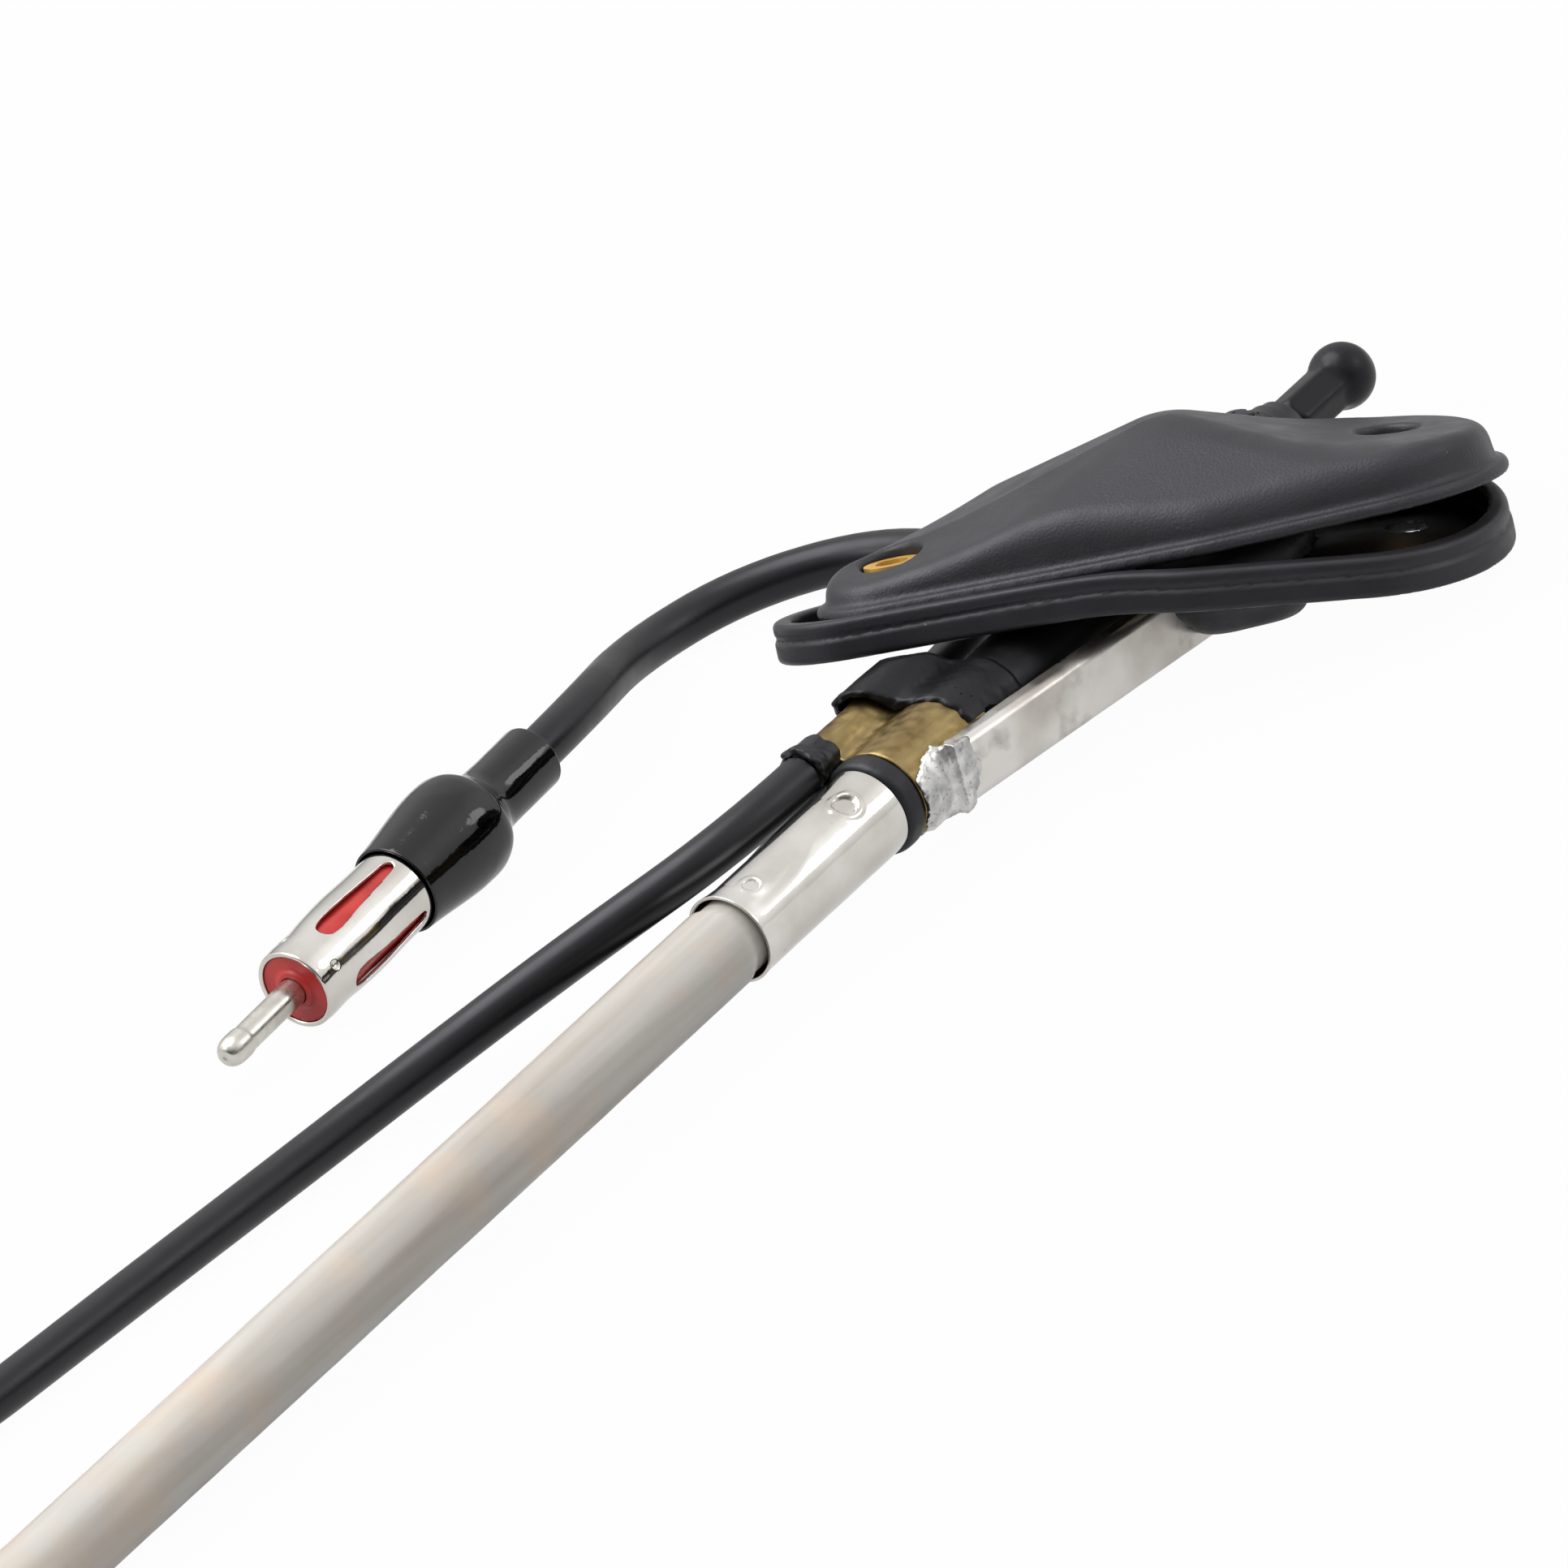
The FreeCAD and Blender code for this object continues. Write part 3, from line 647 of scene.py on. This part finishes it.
def hull_field(circles, x, y):
    """Distance to the outline that a band round the circles takes."""
    result = None
    inner = None
    for (x0, y0, r0), (x1, y1, r1) in zip(circles, circles[1:] + circles[:1]):
        dx = x1 - x0
        dy = y1 - y0
        length = math.hypot(dx, dy)
        lean = (r0 - r1) / length
        up = math.sqrt(1 - lean * lean)
        along = ((x - x0) * dx + (y - y0) * dy) / length
        side = np.abs((x - x0) * dy - (y - y0) * dx) / length
        k = -lean * side + up * along
        field = np.where(k < 0, np.hypot(along, side) - r0,
                         np.where(k > up * length, np.hypot(along - length, side) - r1,
                                  up * side + lean * along - r0))
        edge = ((x - x0) * dy - (y - y0) * dx) / length
        result = field if result is None else np.minimum(result, field)
        inner = edge if inner is None else np.maximum(inner, edge)
    return np.where(inner < 0, np.minimum(result, inner), result) if len(circles) > 2 else result


def outer_cover(x, y, z, wall):
    """The cover's rounded outside, or with a wall its hollow."""
    lift = z + wall
    side = hull_field(cover_circles, x, y) + draft * lift + wall
    lean = nose_lean * np.maximum(nose_lean_y - y, 0)
    flat = lift - nose_z - nose_rise * x + lean
    rise = (lift - foot_z - (peak_z - foot_z) / peak_x * x + lean) * 0.96
    front = round_min(flat, rise, 2.5)
    down = (lift - peak_z + (peak_z - dip_z) / (dip_x - peak_x) * (x - peak_x)) * 0.95
    tail = (lift - dip_z + (dip_z - rear_z) / (rear_x - dip_x) * (x - dip_x)) * 0.99
    roof = round_max(front, round_min(down, tail, 1.8), 2.0)
    near = (lift - shoulder_z - flank_slope * y) * 0.842
    far = (lift - shoulder_z - flank_slope * (ridge_sum - y)) * 0.842
    roof = round_max(round_max(roof, near, 1.8), far, 2.0)
    return round_max(side, roof, 1.9)


def cover_field(x, y, z):
    reach, s = mast_place(x, y, z)
    outline = hull_field(cover_circles, x, y)
    body = outer_cover(x, y, z, 0.0)
    lip = round_max(outline - 1.0 + 0.25 * np.abs(z - 0.6), np.abs(z - 0.65) - 0.75, 0.5)
    snout = round_max(most(reach - snout_r, snout_start - s), s - bush_along + flange, 1.2)
    body = round_min(round_min(body, snout, 1.5), lip, 0.8)
    hollow = outer_cover(x, y, z, cover_wall)
    for wx, wy in screw_wells:
        hollow = np.maximum(hollow, well_r + well_wall - np.hypot(x - wx, y - wy))
    hollow = np.maximum(hollow, snout_r - reach)
    field = most(body, -hollow, -z)
    for wx, wy in screw_wells:
        field = round_max(field, well_r - np.hypot(x - wx, y - wy), 0.8)
    tube_way = np.minimum(insulator_r + push_fit - reach, s - insulator_top)
    field = most(field, bush_r + push_fit - reach, tube_way)
    return round_max(field, -most(reach - flange_r - flange_room, bush_along - flange - s), 0.3)


cover = shape_from("cover", cover_field, (-2.5, -2.5, -1.2), (73.5, 42.5, 15.2), 0.42, base_frame)
finish_piece(cover, "cover", "cover", "base_cover")


# Gasket, in the base frame
gasket_shift = (-2.85, -0.3)
gasket_circles = [(x + gasket_shift[0], y + gasket_shift[1], r) for x, y, r in cover_circles]
gasket_grow = 3.0
gasket_rim = 2.1
gasket_height = 4.3
gasket_floor = 1.1
groove_z = 2.6
groove_half = 0.3
gasket_hole_gap = 0.6
gasket_screw_r = 2.15
fold_from = np.array([28.0, -2.0])
fold_to = np.array([70.0, 25.0])
fold_slope = 0.27
slot_circles = [(19.5, 8.5, 4.5), (42.0, 12.0, 7.5), (44.0, 20.0, 7.0), (37.5, 22.0, 6.5)]


def gasket_under(x, y):
    """Height of the gasket's underside, whose near rear corner hangs down."""
    way = (fold_to - fold_from) / np.linalg.norm(fold_to - fold_from)
    away = (x - fold_from[0]) * way[1] - (y - fold_from[1]) * way[0]
    return -3.15 - 0.015 * x - 0.028 * y - fold_slope * (away + np.sqrt(away ** 2 + 9.0)) / 2


def gasket_field(x, y, z):
    up = z - gasket_under(x, y)
    outline = hull_field(gasket_circles, x, y)
    reach, _ = mast_place(x, y, z)
    groove = (up - groove_z) / groove_half
    parting = 0.24 * np.exp(-groove ** 2) + 0.12 * (1 + np.tanh(groove)) / 2
    faces = np.abs(up - gasket_height / 2) - gasket_height / 2
    outside = round_max(outline - gasket_grow + parting, faces, 0.7)
    bowl = round_max(outline - gasket_grow + gasket_rim, gasket_floor - up, 0.8)
    field = round_max(outside, -bowl, 0.5)
    hole = np.minimum(hull_field(slot_circles, x, y) - push_fit, reach - insulator_r - gasket_hole_gap)
    for wx, wy in screw_wells:
        hole = np.minimum(hole, np.hypot(x - wx, y - wy) - gasket_screw_r)
    return np.maximum(field, -hole)


gasket = shape_from("gasket", gasket_field, (-7.5, -4.5, -12.0), (73.0, 44.5, 2.5), 0.36, base_frame)
finish_piece(gasket, "gasket", "gasket", "base_gasket")


# Boss under the cover, in the base frame
boss_circles = [(37.0, 13.0, 5.5)] + slot_circles[1:]
lobe_circles = [(40.8, 11.0, 4.9), (44.2, 11.5, 4.9)]
rear_lobe = (47.6, 12.5, 2.6)
boss_bottom = -8.0
lobe_bottom = -9.7
rear_lobe_bottom = -8.4


def boss_field(x, y, z):
    reach, _ = mast_place(x, y, z)
    lobe_x, lobe_y, lobe_r = rear_lobe
    block = round_max(hull_field(boss_circles, x, y), most(boss_bottom - z, z + 0.2), 3.4)
    lobe = round_max(hull_field(lobe_circles, x, y), most(lobe_bottom - z, z + 1.0), 3.0)
    rear = round_max(np.hypot(x - lobe_x, y - lobe_y) - lobe_r, most(rear_lobe_bottom - z, z + 1.0), 1.6)
    field = round_min(round_min(block, lobe, 0.8), rear, 0.5)
    return most(field, insulator_r + push_fit - reach)


boss = shape_from("boss", boss_field, (23.0, 3.0, -10.6), (52.5, 31.5, 0.8), 0.4, base_frame)
finish_piece(boss, "boss", "boss", "mount_boss")

for node, look in (("ground_plate", "plate"), ("bracket_plate", "steel"), ("tube_end_cap", "drain"),
                   ("mast_outer_tube", "nickel"), ("mast_rod", "chrome"), ("mast_section_1", "chrome"),
                   ("mast_section_2", "chrome"), ("mast_section_3", "chrome")):
    dress(frame["nodes"][node], look)


# Mast end: bush and tip, in the mast frame
mouth_r = 3.05
outer_seat_r = 3.67
outer_seat_top = 97.02
flange_low = bush_along - flange
low_ring_top = bush_along + 1.7
high_ring_top = low_ring_top + 1.3
bush = lathe("bush", [
    (outer_seat_r, insulator_top), (bush_r, insulator_top), (bush_r, flange_low, 0.05),
    (flange_r, flange_low), (flange_r, bush_along, 0.5), (3.8, bush_along, 0.2),
    (3.75, low_ring_top, 0.3), (3.35, low_ring_top, 0.2), (3.35, high_ring_top, 0.12),
    (mouth_r, high_ring_top, 0.1), (mouth_r, outer_seat_top), (outer_seat_r, outer_seat_top)],
    mast_frame, 0.25)
finish_piece(bush, "black_plastic", "black_plastic", "mast_bush")

ball_along = 112.0
ball_r = 3.57
tip_low = 101.8
hexagon_r = 2.52
tip_collar_r = 2.78
tip_bore_r = 1.02
tip_bore_top = 108.3


def tip_field(x, y, z):
    reach = np.hypot(x, y)
    turns = [k * math.pi / 3 + 0.3 for k in range(6)]
    hexagon = most(*[x * math.cos(turn) + y * math.sin(turn) for turn in turns])
    collar = round_max(hexagon - hexagon_r, reach - tip_collar_r, 0.15)
    collar = round_max(collar, most(tip_low - z, z - ball_along), 0.2)
    collar = round_max(collar, reach - 2.25 - 0.7 * (z - tip_low), 0.25)
    ball = np.sqrt(reach ** 2 + (z - ball_along) ** 2) - ball_r
    return most(round_min(collar, ball, 0.5), tip_bore_r - reach - 100.0 * (z > tip_bore_top))


tip = shape_from("tip", tip_field, (-4.2, -4.2, 101.2), (4.2, 4.2, 116.2), 0.15, mast_frame)
finish_piece(tip, "tip", "tip", "mast_tip", body="rod")


# Insulator tube, ring, sleeve and drain tube, in the mast frame
ring_low = 25.1
ring_top = 27.9
tube_bore = 3.12


def faint_waves(size, depth, seed):
    return lambda a, s, r: depth * surface_ripple(a, s, r, size, seed)


def insulator_bend(a, s, r):
    """Slow waves in the outside only."""
    return np.where(r > 4, -0.04 + 0.04 * surface_ripple(a, s, r, 14.0, 2), 0)


insulator_line = ring_line(ring_top, insulator_top, tube_bore, insulator_r, 1.2)
insulator = lathe("insulator", insulator_line, mast_frame, 0.1, 96, insulator_bend)
finish_piece(insulator, "shrink", "shrink", "insulator_tube")

ring = lathe("ring", [(tube_bore, ring_low, 0.1), (4.9, ring_low, 0.5), (5.45, 25.4, 0.6), (5.55, 26.6, 1.0),
                      (5.5, 27.6, 0.6), (4.9, ring_top, 0.4),
                      (tube_bore, ring_top, 0.1)], mast_frame, 0.3, 128, faint_waves(6.0, 0.05, 5))
finish_piece(ring, "ring", "ring", "insulator_ring")

sleeve_r = 5.05
sleeve_wall = 0.4
dimples = [(2.26, 19.8, 1.4, 1.3), (2.8, 3.7, 0.95, 0.8)]
crimp_middle = 12.0


def sleeve_bend(a, s, r):
    """Two punched dimples and a long flat where the sleeve is pressed on the side towards the lead."""
    push = 0
    for side, along, size, depth in dimples:
        turn = math.acos(side / sleeve_r)
        away = np.hypot((np.arctan2(np.sin(a - turn), np.cos(a - turn))) * sleeve_r, s - along)
        push = push - depth * np.clip(1 - away / size, 0, 1) ** 0.75
        push = push + 0.13 * np.exp(-((away - 1.25 * size) / 0.4) ** 2)
    width = 0.9 - 0.32 * np.tanh((s - crimp_middle) / 4.0)
    edge = np.clip((width - np.abs(np.arctan2(np.sin(a - 0.45), np.cos(a - 0.45)))) / 0.3, 0, 1)
    edge = edge * edge * (3 - 2 * edge)
    push = push - 0.24 * edge * np.clip(s / 3.0, 0, 1) * np.clip((24.0 - s) / 4.0, 0, 1)
    push = push + 0.1 * np.exp(-(s / 0.9) ** 2)
    return push + 0.012 * surface_ripple(a, s, r, 9.0, 3)


sleeve_line = ring_line(0.0, ring_low, sleeve_r - sleeve_wall, sleeve_r - push_fit, 0.16)
sleeve = lathe("sleeve", sleeve_line, mast_frame, 0.12, 320, sleeve_bend)
finish_piece(sleeve, "nickel", "nickel", "ferrule_sleeve")

drain_r = 4.62
drain_wall = 0.75
drain_end = -135.0
drain_top = 14.0


def drain_bend(a, s, r):
    """Slow waves, and a narrower stretch inside the sleeve."""
    return np.where(s > -1.5, -0.42, -0.03 + 0.03 * surface_ripple(a, s, r, 17.0, 4))


drain_line = ring_line(drain_end, drain_top, drain_r - drain_wall, drain_r, 1.0)
drain = lathe("drain", drain_line, mast_frame, 0.15, 96, drain_bend)
finish_piece(drain, "drain", "drain", "drain_tube")


# Place of the channel beside the mast
channel_start = Vector((-6.85, 3.3, 33.2))
channel_end = Vector((-11.3, 5.05, 74.0))
channel_up = Vector((0.826, 0.563, 0.0))
channel_height = 6.9
top_flange = 2.3
low_flange = 2.6
sheet = 0.6


def find_channel_frame():
    run = (channel_end - channel_start).normalized()
    up = (channel_up - run * channel_up.dot(run)).normalized()
    inward = up.cross(run)
    turned = Matrix((inward, up, run)).transposed().to_4x4()
    return mast_frame @ Matrix.Translation(channel_start) @ turned


channel_frame = find_channel_frame()
channel_length = (channel_end - channel_start).length
into_channel = np.array(channel_frame.inverted() @ mast_frame)


def channel_room(x, y, z):
    """The space that the channel needs beside the mast, a little larger than it."""
    a, b, c = moved_into(into_channel, x, y, z)
    return most(-0.1 - a, a - low_flange - 0.1, -0.1 - b, b - channel_height - 0.1, -0.3 - c)


# Clamp, shrink cover, collar and solder, in the mast frame
lead_side = 7.3
lead_back = -3.4
clamp_top = 41.4
clamp_r = 5.38
clamp_lead_r = 2.15
clamp_web = 1.3


def pair_field(x, y, r_tube, r_lead, web):
    """The tube and the lead side by side with a web between them."""
    tube = np.hypot(x, y) - r_tube
    wire = np.hypot(x - lead_side, y - lead_back) - r_lead
    length = math.hypot(lead_side, lead_back)
    along = np.clip((x * lead_side + y * lead_back) / length, 0, length)
    bar = np.hypot(x - along * lead_side / length, y - along * lead_back / length) - web
    return round_min(round_min(tube, wire, 1.6), bar, 1.2)


def clamp_field(x, y, z):
    dents = 0.07 * ripple(x, y, z, 5.0, 1)
    outer = pair_field(x, y, clamp_r, clamp_lead_r, clamp_web) + dents
    inner = np.minimum(np.hypot(x, y) - insulator_r, np.hypot(x - lead_side, y - lead_back) - 1.6)
    return most(round_max(outer, most(ring_top + push_fit - z, z - clamp_top), 0.25), -inner)


clamp = shape_from("clamp", clamp_field, (-6.3, -6.6, 27.2), (10.6, 6.3, 42.2), 0.25, mast_frame)
finish_piece(clamp, "brass", "brass", "brass_clamp")


def shrink_field(x, y, z):
    lumps = 0.05 * ripple(x, y, z, 7.0, 7) + 0.02 * ripple(x, y, z, 2.5, 8)
    tube = np.hypot(x, y) - 5.85 + 0.75 * np.clip((z - 39.0) / 7.0, 0, 1)
    lump = np.hypot(x - lead_side + 0.1, y - lead_back) - 3.6 + 0.02 * (z - 38.0)
    outer = round_min(tube, lump, 3.0) + lumps
    flare = 0.5 * np.exp(-((z - 33.5) / 1.6) ** 2) * (x > 2)
    low = np.interp(x, (-6, 3.3, 5.5, 8.5, 10.8), (38.5, 38.4, 37.4, 36.2, 34.8))
    low = low + 0.25 * ripple(x, y, z * 0, 3.0, 9)
    high = np.interp(x, (-6, 4, 8, 10.8), (47.9, 48.2, 46.1, 44.2))
    high = high + 0.15 * ripple(x, y, z * 0, 4.0, 10)
    ends = most(low - z, z - high)
    body = round_max(outer - flare, ends, 0.9)
    mouth = most(pair_field(x, y, 5.3, 2.8, 1.3), z - low - 3.0)
    bx, by, bz = moved_into(out_of_mast, x, y, z)
    bore = insulator_r - 0.45 - np.hypot(x, y)
    above = bz - gasket_under(bx, by) + 0.45
    return most(body, bore, -mouth, above, -channel_room(x, y, z))


shrink = shape_from("shrink", shrink_field, (-7.0, -7.8, 31.0), (12.2, 7.0, 49.2), 0.28, mast_frame)
finish_piece(shrink, "shrink", "shrink", "shrink_cover")


def solder_field(x, y, z):
    """A ragged skin of solder over the clamp, the ring's edge and the channel's end."""
    over = pair_field(x, y, clamp_r, clamp_lead_r, clamp_web)
    beside = channel_room(x, y, z) + 0.1
    skin = round_min(over, np.maximum(beside, 32.6 - z), 1.2)
    jag = 0.55 * ripple(x, y, z, 5.0, 11) + 0.12 * ripple(x, y, z, 1.8, 12)
    patch = np.hypot((x + 3.2) * 0.85, (z - 31.8) * 0.8) - 3.3 + jag
    patch = np.maximum(patch, -y)
    thick = skin - 0.6 + 0.08 * ripple(x, y, z, 6.0, 13)
    return most(round_max(patch, thick, 0.7), ring_top + 0.05 - z, push_fit - over, -beside)


solder = shape_from("solder", solder_field, (-9.0, -0.4, 27.4), (2.6, 10.4, 38.0), 0.16, mast_frame)
finish_piece(solder, "solder", "solder", "solder_joint")


def collar_field(x, y, z):
    """The jacket's ragged end standing away from the lead."""
    reach = np.hypot(x - lead_side, y - lead_back)
    spread = 0.35 * np.clip((26.6 - z) / 1.6, 0, 1) * (1 + 0.8 * ripple(x, y, z * 0, 5.0, 14))
    outer = reach - 2.75 - spread + 0.08 * ripple(x, y, z, 2.4, 15)
    low = 24.9 + 0.5 * ripple(x, y, z * 0, 3.6, 16)
    high = 28.6 + 0.3 * ripple(x, y, z * 0, 4.0, 17)
    return most(round_max(outer, most(low - z, z - high), 0.3), 2.42 - reach, 5.5 - np.hypot(x, y))


collar = shape_from("collar", collar_field, (3.4, -7.6, 23.6), (11.4, 0.8, 29.8), 0.16, mast_frame)
finish_piece(collar, "lead", "lead", "cable_collar")


# Channel, in a frame along it
def channel_field(x, y, z):
    """x goes inwards from the web, y up it and z along the channel."""
    bend = 1.1
    half = channel_height / 2
    dx = np.maximum(bend - x, 0)
    dy = np.maximum(np.abs(y - half) - half + bend, 0)
    wall = np.abs(np.where((dx > 0) & (dy > 0), np.hypot(dx, dy) - bend,
                           np.maximum(-x, np.abs(y - half) - half)) + sheet / 2) - sheet / 2
    depth = x - np.where(y > half, top_flange, low_flange)
    cut = z - channel_length + 0.05
    start = -z + 0.12 * (y - 3.0) + 0.3 * ripple(x, y, z * 0, 4.0, 18)
    return most(wall, depth, cut, start) + 0.02 * ripple(x, y, z, 8.0, 19)


channel_low = (-0.5, -0.5, -1.2)
channel_high = (3.2, 7.5, channel_length + 0.3)
channel = shape_from("channel", channel_field, channel_low, channel_high, 0.2, channel_frame)
finish_piece(channel, "steel", "steel", "support_channel")


# Plug, in its own frame
def boot_bend(a, s, r):
    """Slow waves in the boot's free part."""
    return np.where(s > 9, 0.05 * surface_ripple(a, s, r, 7.0, 20), 0)


boot = lathe("boot", [
    (0, 8.2), (4.62, 8.1, 0.2), (4.66, 1.2, 0.3), (4.85, 0.0, 0.1), (5.15, 0.0, 0.15), (5.35, 2.0, 1.0),
    (6.15, 8.2, 2.5), (6.25, 11.0, 1.6), (5.95, 13.2, 1.2), (4.5, 14.7, 0.9), (3.8, 16.0, 1.0),
    (3.66, 19.0, 1.5),
    (3.7, 25.3, 0.35), (2.5, 25.3, 0.1), (0, 24.6)], plug_frame, 0.4, 128, boot_bend)
finish_piece(boot, "boot", "boot", "plug_boot")

barrel_r = 4.7
barrel_wall = 0.5
barrel_front = -18.7
inner_tube_r = 4.4
inner_tube_wall = 0.36
slot_count = 4
slot_turn = math.radians(26)
slot_front = -14.0
slot_back = -0.9
dimple_back = 2.7
dimple_r = 0.65


def barrel_field(x, y, z):
    """A nickel tube with a rolled front edge, four springy bowed strips and a row of small dimples."""
    reach = np.hypot(x, y)
    roll = 0.2 * np.exp(-((z - barrel_front) / 0.9) ** 2)
    bow = 0.16 * np.exp(-((z + 8.5) / 3.6) ** 2) - 0.1 * np.exp(-((z + 14.5) / 1.8) ** 2)
    wall = np.abs(reach - barrel_r + barrel_wall / 2 + roll * 0.7 - bow + 0.05)
    body = round_max(wall - barrel_wall / 2 - roll * 0.15, most(barrel_front - z, z), 0.25)
    inner = most(np.abs(reach - inner_tube_r) - inner_tube_wall / 2, -1.5 - z, z - 8.0)
    body = np.minimum(body, inner)
    share = np.clip((z - slot_front) / (slot_back - slot_front), 0, 1)
    half = 0.6 + 0.8 * (1 - share) * np.clip(share * 6.0, 0, 1) ** 0.5
    for k in range(slot_count):
        a = slot_turn + k * 2 * math.pi / slot_count
        ahead = x * math.cos(a) + y * math.sin(a)
        side = np.abs(y * math.cos(a) - x * math.sin(a))
        gap = round_max(side - half, most(slot_front - z, z - slot_back), 1.0)
        body = round_max(body, -np.maximum(gap, -ahead), 0.18)
        b = a + math.pi / slot_count
        aside = np.hypot(x - (barrel_r + 0.3) * math.cos(b), y - (barrel_r + 0.3) * math.sin(b))
        dimple = np.hypot(aside, z - barrel_front - dimple_back) - dimple_r
        body = round_max(body, -dimple, 0.15)
    return body


barrel = shape_from("barrel", barrel_field, (-5.2, -5.2, -19.2), (5.2, 5.2, 8.4), 0.16, plug_frame)
finish_piece(barrel, "nickel", "nickel", "plug_barrel")

insulator_core = lathe("core", [
    (1.6, -18.9, 0.1), (2.15, -18.85, 0.25), (2.4, -18.45, 0.25), (4.0, -18.45, 0.2), (4.05, -15.7, 0.2),
    (4.02, -15.5, 0.2), (4.02, 4.8), (4.15, 5.0), (4.15, 8.0), (1.6, 8.0)], plug_frame, 0.25)
finish_piece(insulator_core, "insulator", "insulator", "plug_insulator")

pin = lathe("pin", [
    (0, -31.5), (1.1, -31.4, 0.6), (1.68, -30.3, 0.9), (1.66, -28.3, 0.3), (1.53, -27.9, 0.3),
    (1.55, -9.8, 0.1), (0, -9.8)], plug_frame, 0.3, 64)
finish_piece(pin, "pin", "nickel", "plug_pin")


# Tie round the coil
def make_tie():
    half = lead_d / mm / 2
    inset = 2.2
    clear = 0.6
    top = table_z / mm + coil_turns * coil_pitch / mm - 1.2
    wide = half + clear
    high = top + half
    corners = [(-wide, clear), (wide, clear), (wide, high), (-wide, high)]
    line = []
    for k, (x, z) in enumerate(corners):
        for i in range(7):
            a = math.pi + math.pi / 2 * k + math.pi / 2 * i / 6
            cx = x + inset * (1 if x < 0 else -1)
            cz = z + inset * (1 if k < 2 else -1)
            line.append((cx + inset * math.cos(a), cz + inset * math.sin(a)))
    outer = np.array(line)
    middle = outer.mean(0)
    inner = middle + (outer - middle) * np.array([0.9, 0.965])
    rows = []
    for side, ring_points in ((-2.4, inner), (-2.5, outer), (2.5, outer), (2.4, inner)):
        rows.append(np.stack([ring_points[:, 0], np.full(len(line), side), ring_points[:, 1]], -1))
    n = len(line)
    faces = []
    for r in range(4):
        for k in range(n):
            faces.append((r * n + k, r * n + (k + 1) % n, (r + 1) % 4 * n + (k + 1) % n, (r + 1) % 4 * n + k))
    at = Matrix.Translation(((coil_at[0] - coil_r) / mm, coil_at[1] / mm, 0))
    return make_mesh("tie", np.concatenate(rows), faces, at)


tie = finish_piece(make_tie(), "black_plastic", "black_plastic", "coil_tie")


# Floor, light and view transform
floor_half = 9.0
floor_white = 0.97
floor_in_mirror = 0.72


def make_floor():
    data = bpy.data.meshes.new("floor")
    signs = ((-1, -1), (1, -1), (1, 1), (-1, 1))
    data.from_pydata([(x * floor_half, y * floor_half, 0) for x, y in signs], [], [(0, 1, 2, 3)])
    floor = bpy.data.objects.new("floor", data)
    scene.collection.objects.link(floor)
    paint = Paint("white_floor", roughness=0.9, specular=0.2)
    paint.colour(paint.mix(paint.noise(60.0, 3.0), (0.36, 0.36, 0.36, 1), (0.4, 0.4, 0.4, 1)))
    glow = paint.node("ShaderNodeEmission")
    rays = paint.node("ShaderNodeLightPath")
    seen = paint.node("ShaderNodeMath", operation="MAXIMUM")
    mirrored = paint.times(rays.outputs["Is Glossy Ray"], floor_in_mirror)
    share = paint.node("ShaderNodeMixShader")
    paint.link(rays.outputs["Is Camera Ray"], seen.inputs[0])
    paint.link(mirrored, seen.inputs[1])
    paint.link(paint.times(seen.outputs[0], floor_white), share.inputs[0])
    paint.link(paint.surface.outputs[0], share.inputs[1])
    paint.link(glow.outputs[0], share.inputs[2])
    paint.link(share.outputs[0], paint.tree.nodes["Material Output"].inputs["Surface"])
    data.materials.append(paint.material)


def add_light(name, azimuth, elevation, distance, size, power):
    data = bpy.data.lights.new(name, "AREA")
    data.shape = "DISK"
    data.size = size
    data.energy = power
    light = bpy.data.objects.new(name, data)
    back = direction(azimuth, elevation)
    turn = back.to_track_quat("Z", "Y").to_matrix().to_4x4()
    light.matrix_world = Matrix.Translation(Vector(view_centre) * mm + back * distance) @ turn
    scene.collection.objects.link(light)


def make_world():
    """Soft light from above and two sides, each fading with the direction."""
    world = bpy.data.worlds.new("world")
    world.use_nodes = True
    sky = world.node_tree
    place = sky.nodes.new("ShaderNodeTexCoord").outputs["Generated"]
    total = None
    for aim, low, high, dim, bright in (((0.3, 0.05, 0.95), -0.1, 0.9, 0.1, 1.0),
                                        ((-0.45, 0.75, 0.48), 0.5, 0.95, 0.0, 0.7),
                                        ((0.55, -0.8, 0.1), 0.6, 0.95, 0.0, 0.5)):
        facing = sky.nodes.new("ShaderNodeVectorMath")
        facing.operation = "DOT_PRODUCT"
        facing.inputs[1].default_value = Vector(aim).normalized()
        sky.links.new(place, facing.inputs[0])
        share = sky.nodes.new("ShaderNodeMapRange")
        share.interpolation_type = "SMOOTHSTEP"
        share.inputs["From Min"].default_value = low
        share.inputs["From Max"].default_value = high
        share.inputs["To Min"].default_value = dim
        share.inputs["To Max"].default_value = bright
        sky.links.new(facing.outputs["Value"], share.inputs["Value"])
        if total is None:
            total = share.outputs["Result"]
        else:
            added = sky.nodes.new("ShaderNodeMath")
            sky.links.new(total, added.inputs[0])
            sky.links.new(share.outputs["Result"], added.inputs[1])
            total = added.outputs[0]
    sky.links.new(total, sky.nodes["Background"].inputs["Strength"])
    sky.nodes["Background"].inputs["Color"].default_value = (1, 1, 1, 1)
    scene.world = world


make_floor()
add_light("top_light", 100.0, 75.0, 1.2, 1.1, 12.0)
add_light("left_light", 150.0, 40.0, 1.3, 0.4, 2.0)
add_light("right_light", -50.0, 25.0, 1.3, 0.4, 1.0)
make_world()
scene.view_settings.view_transform = "Standard"
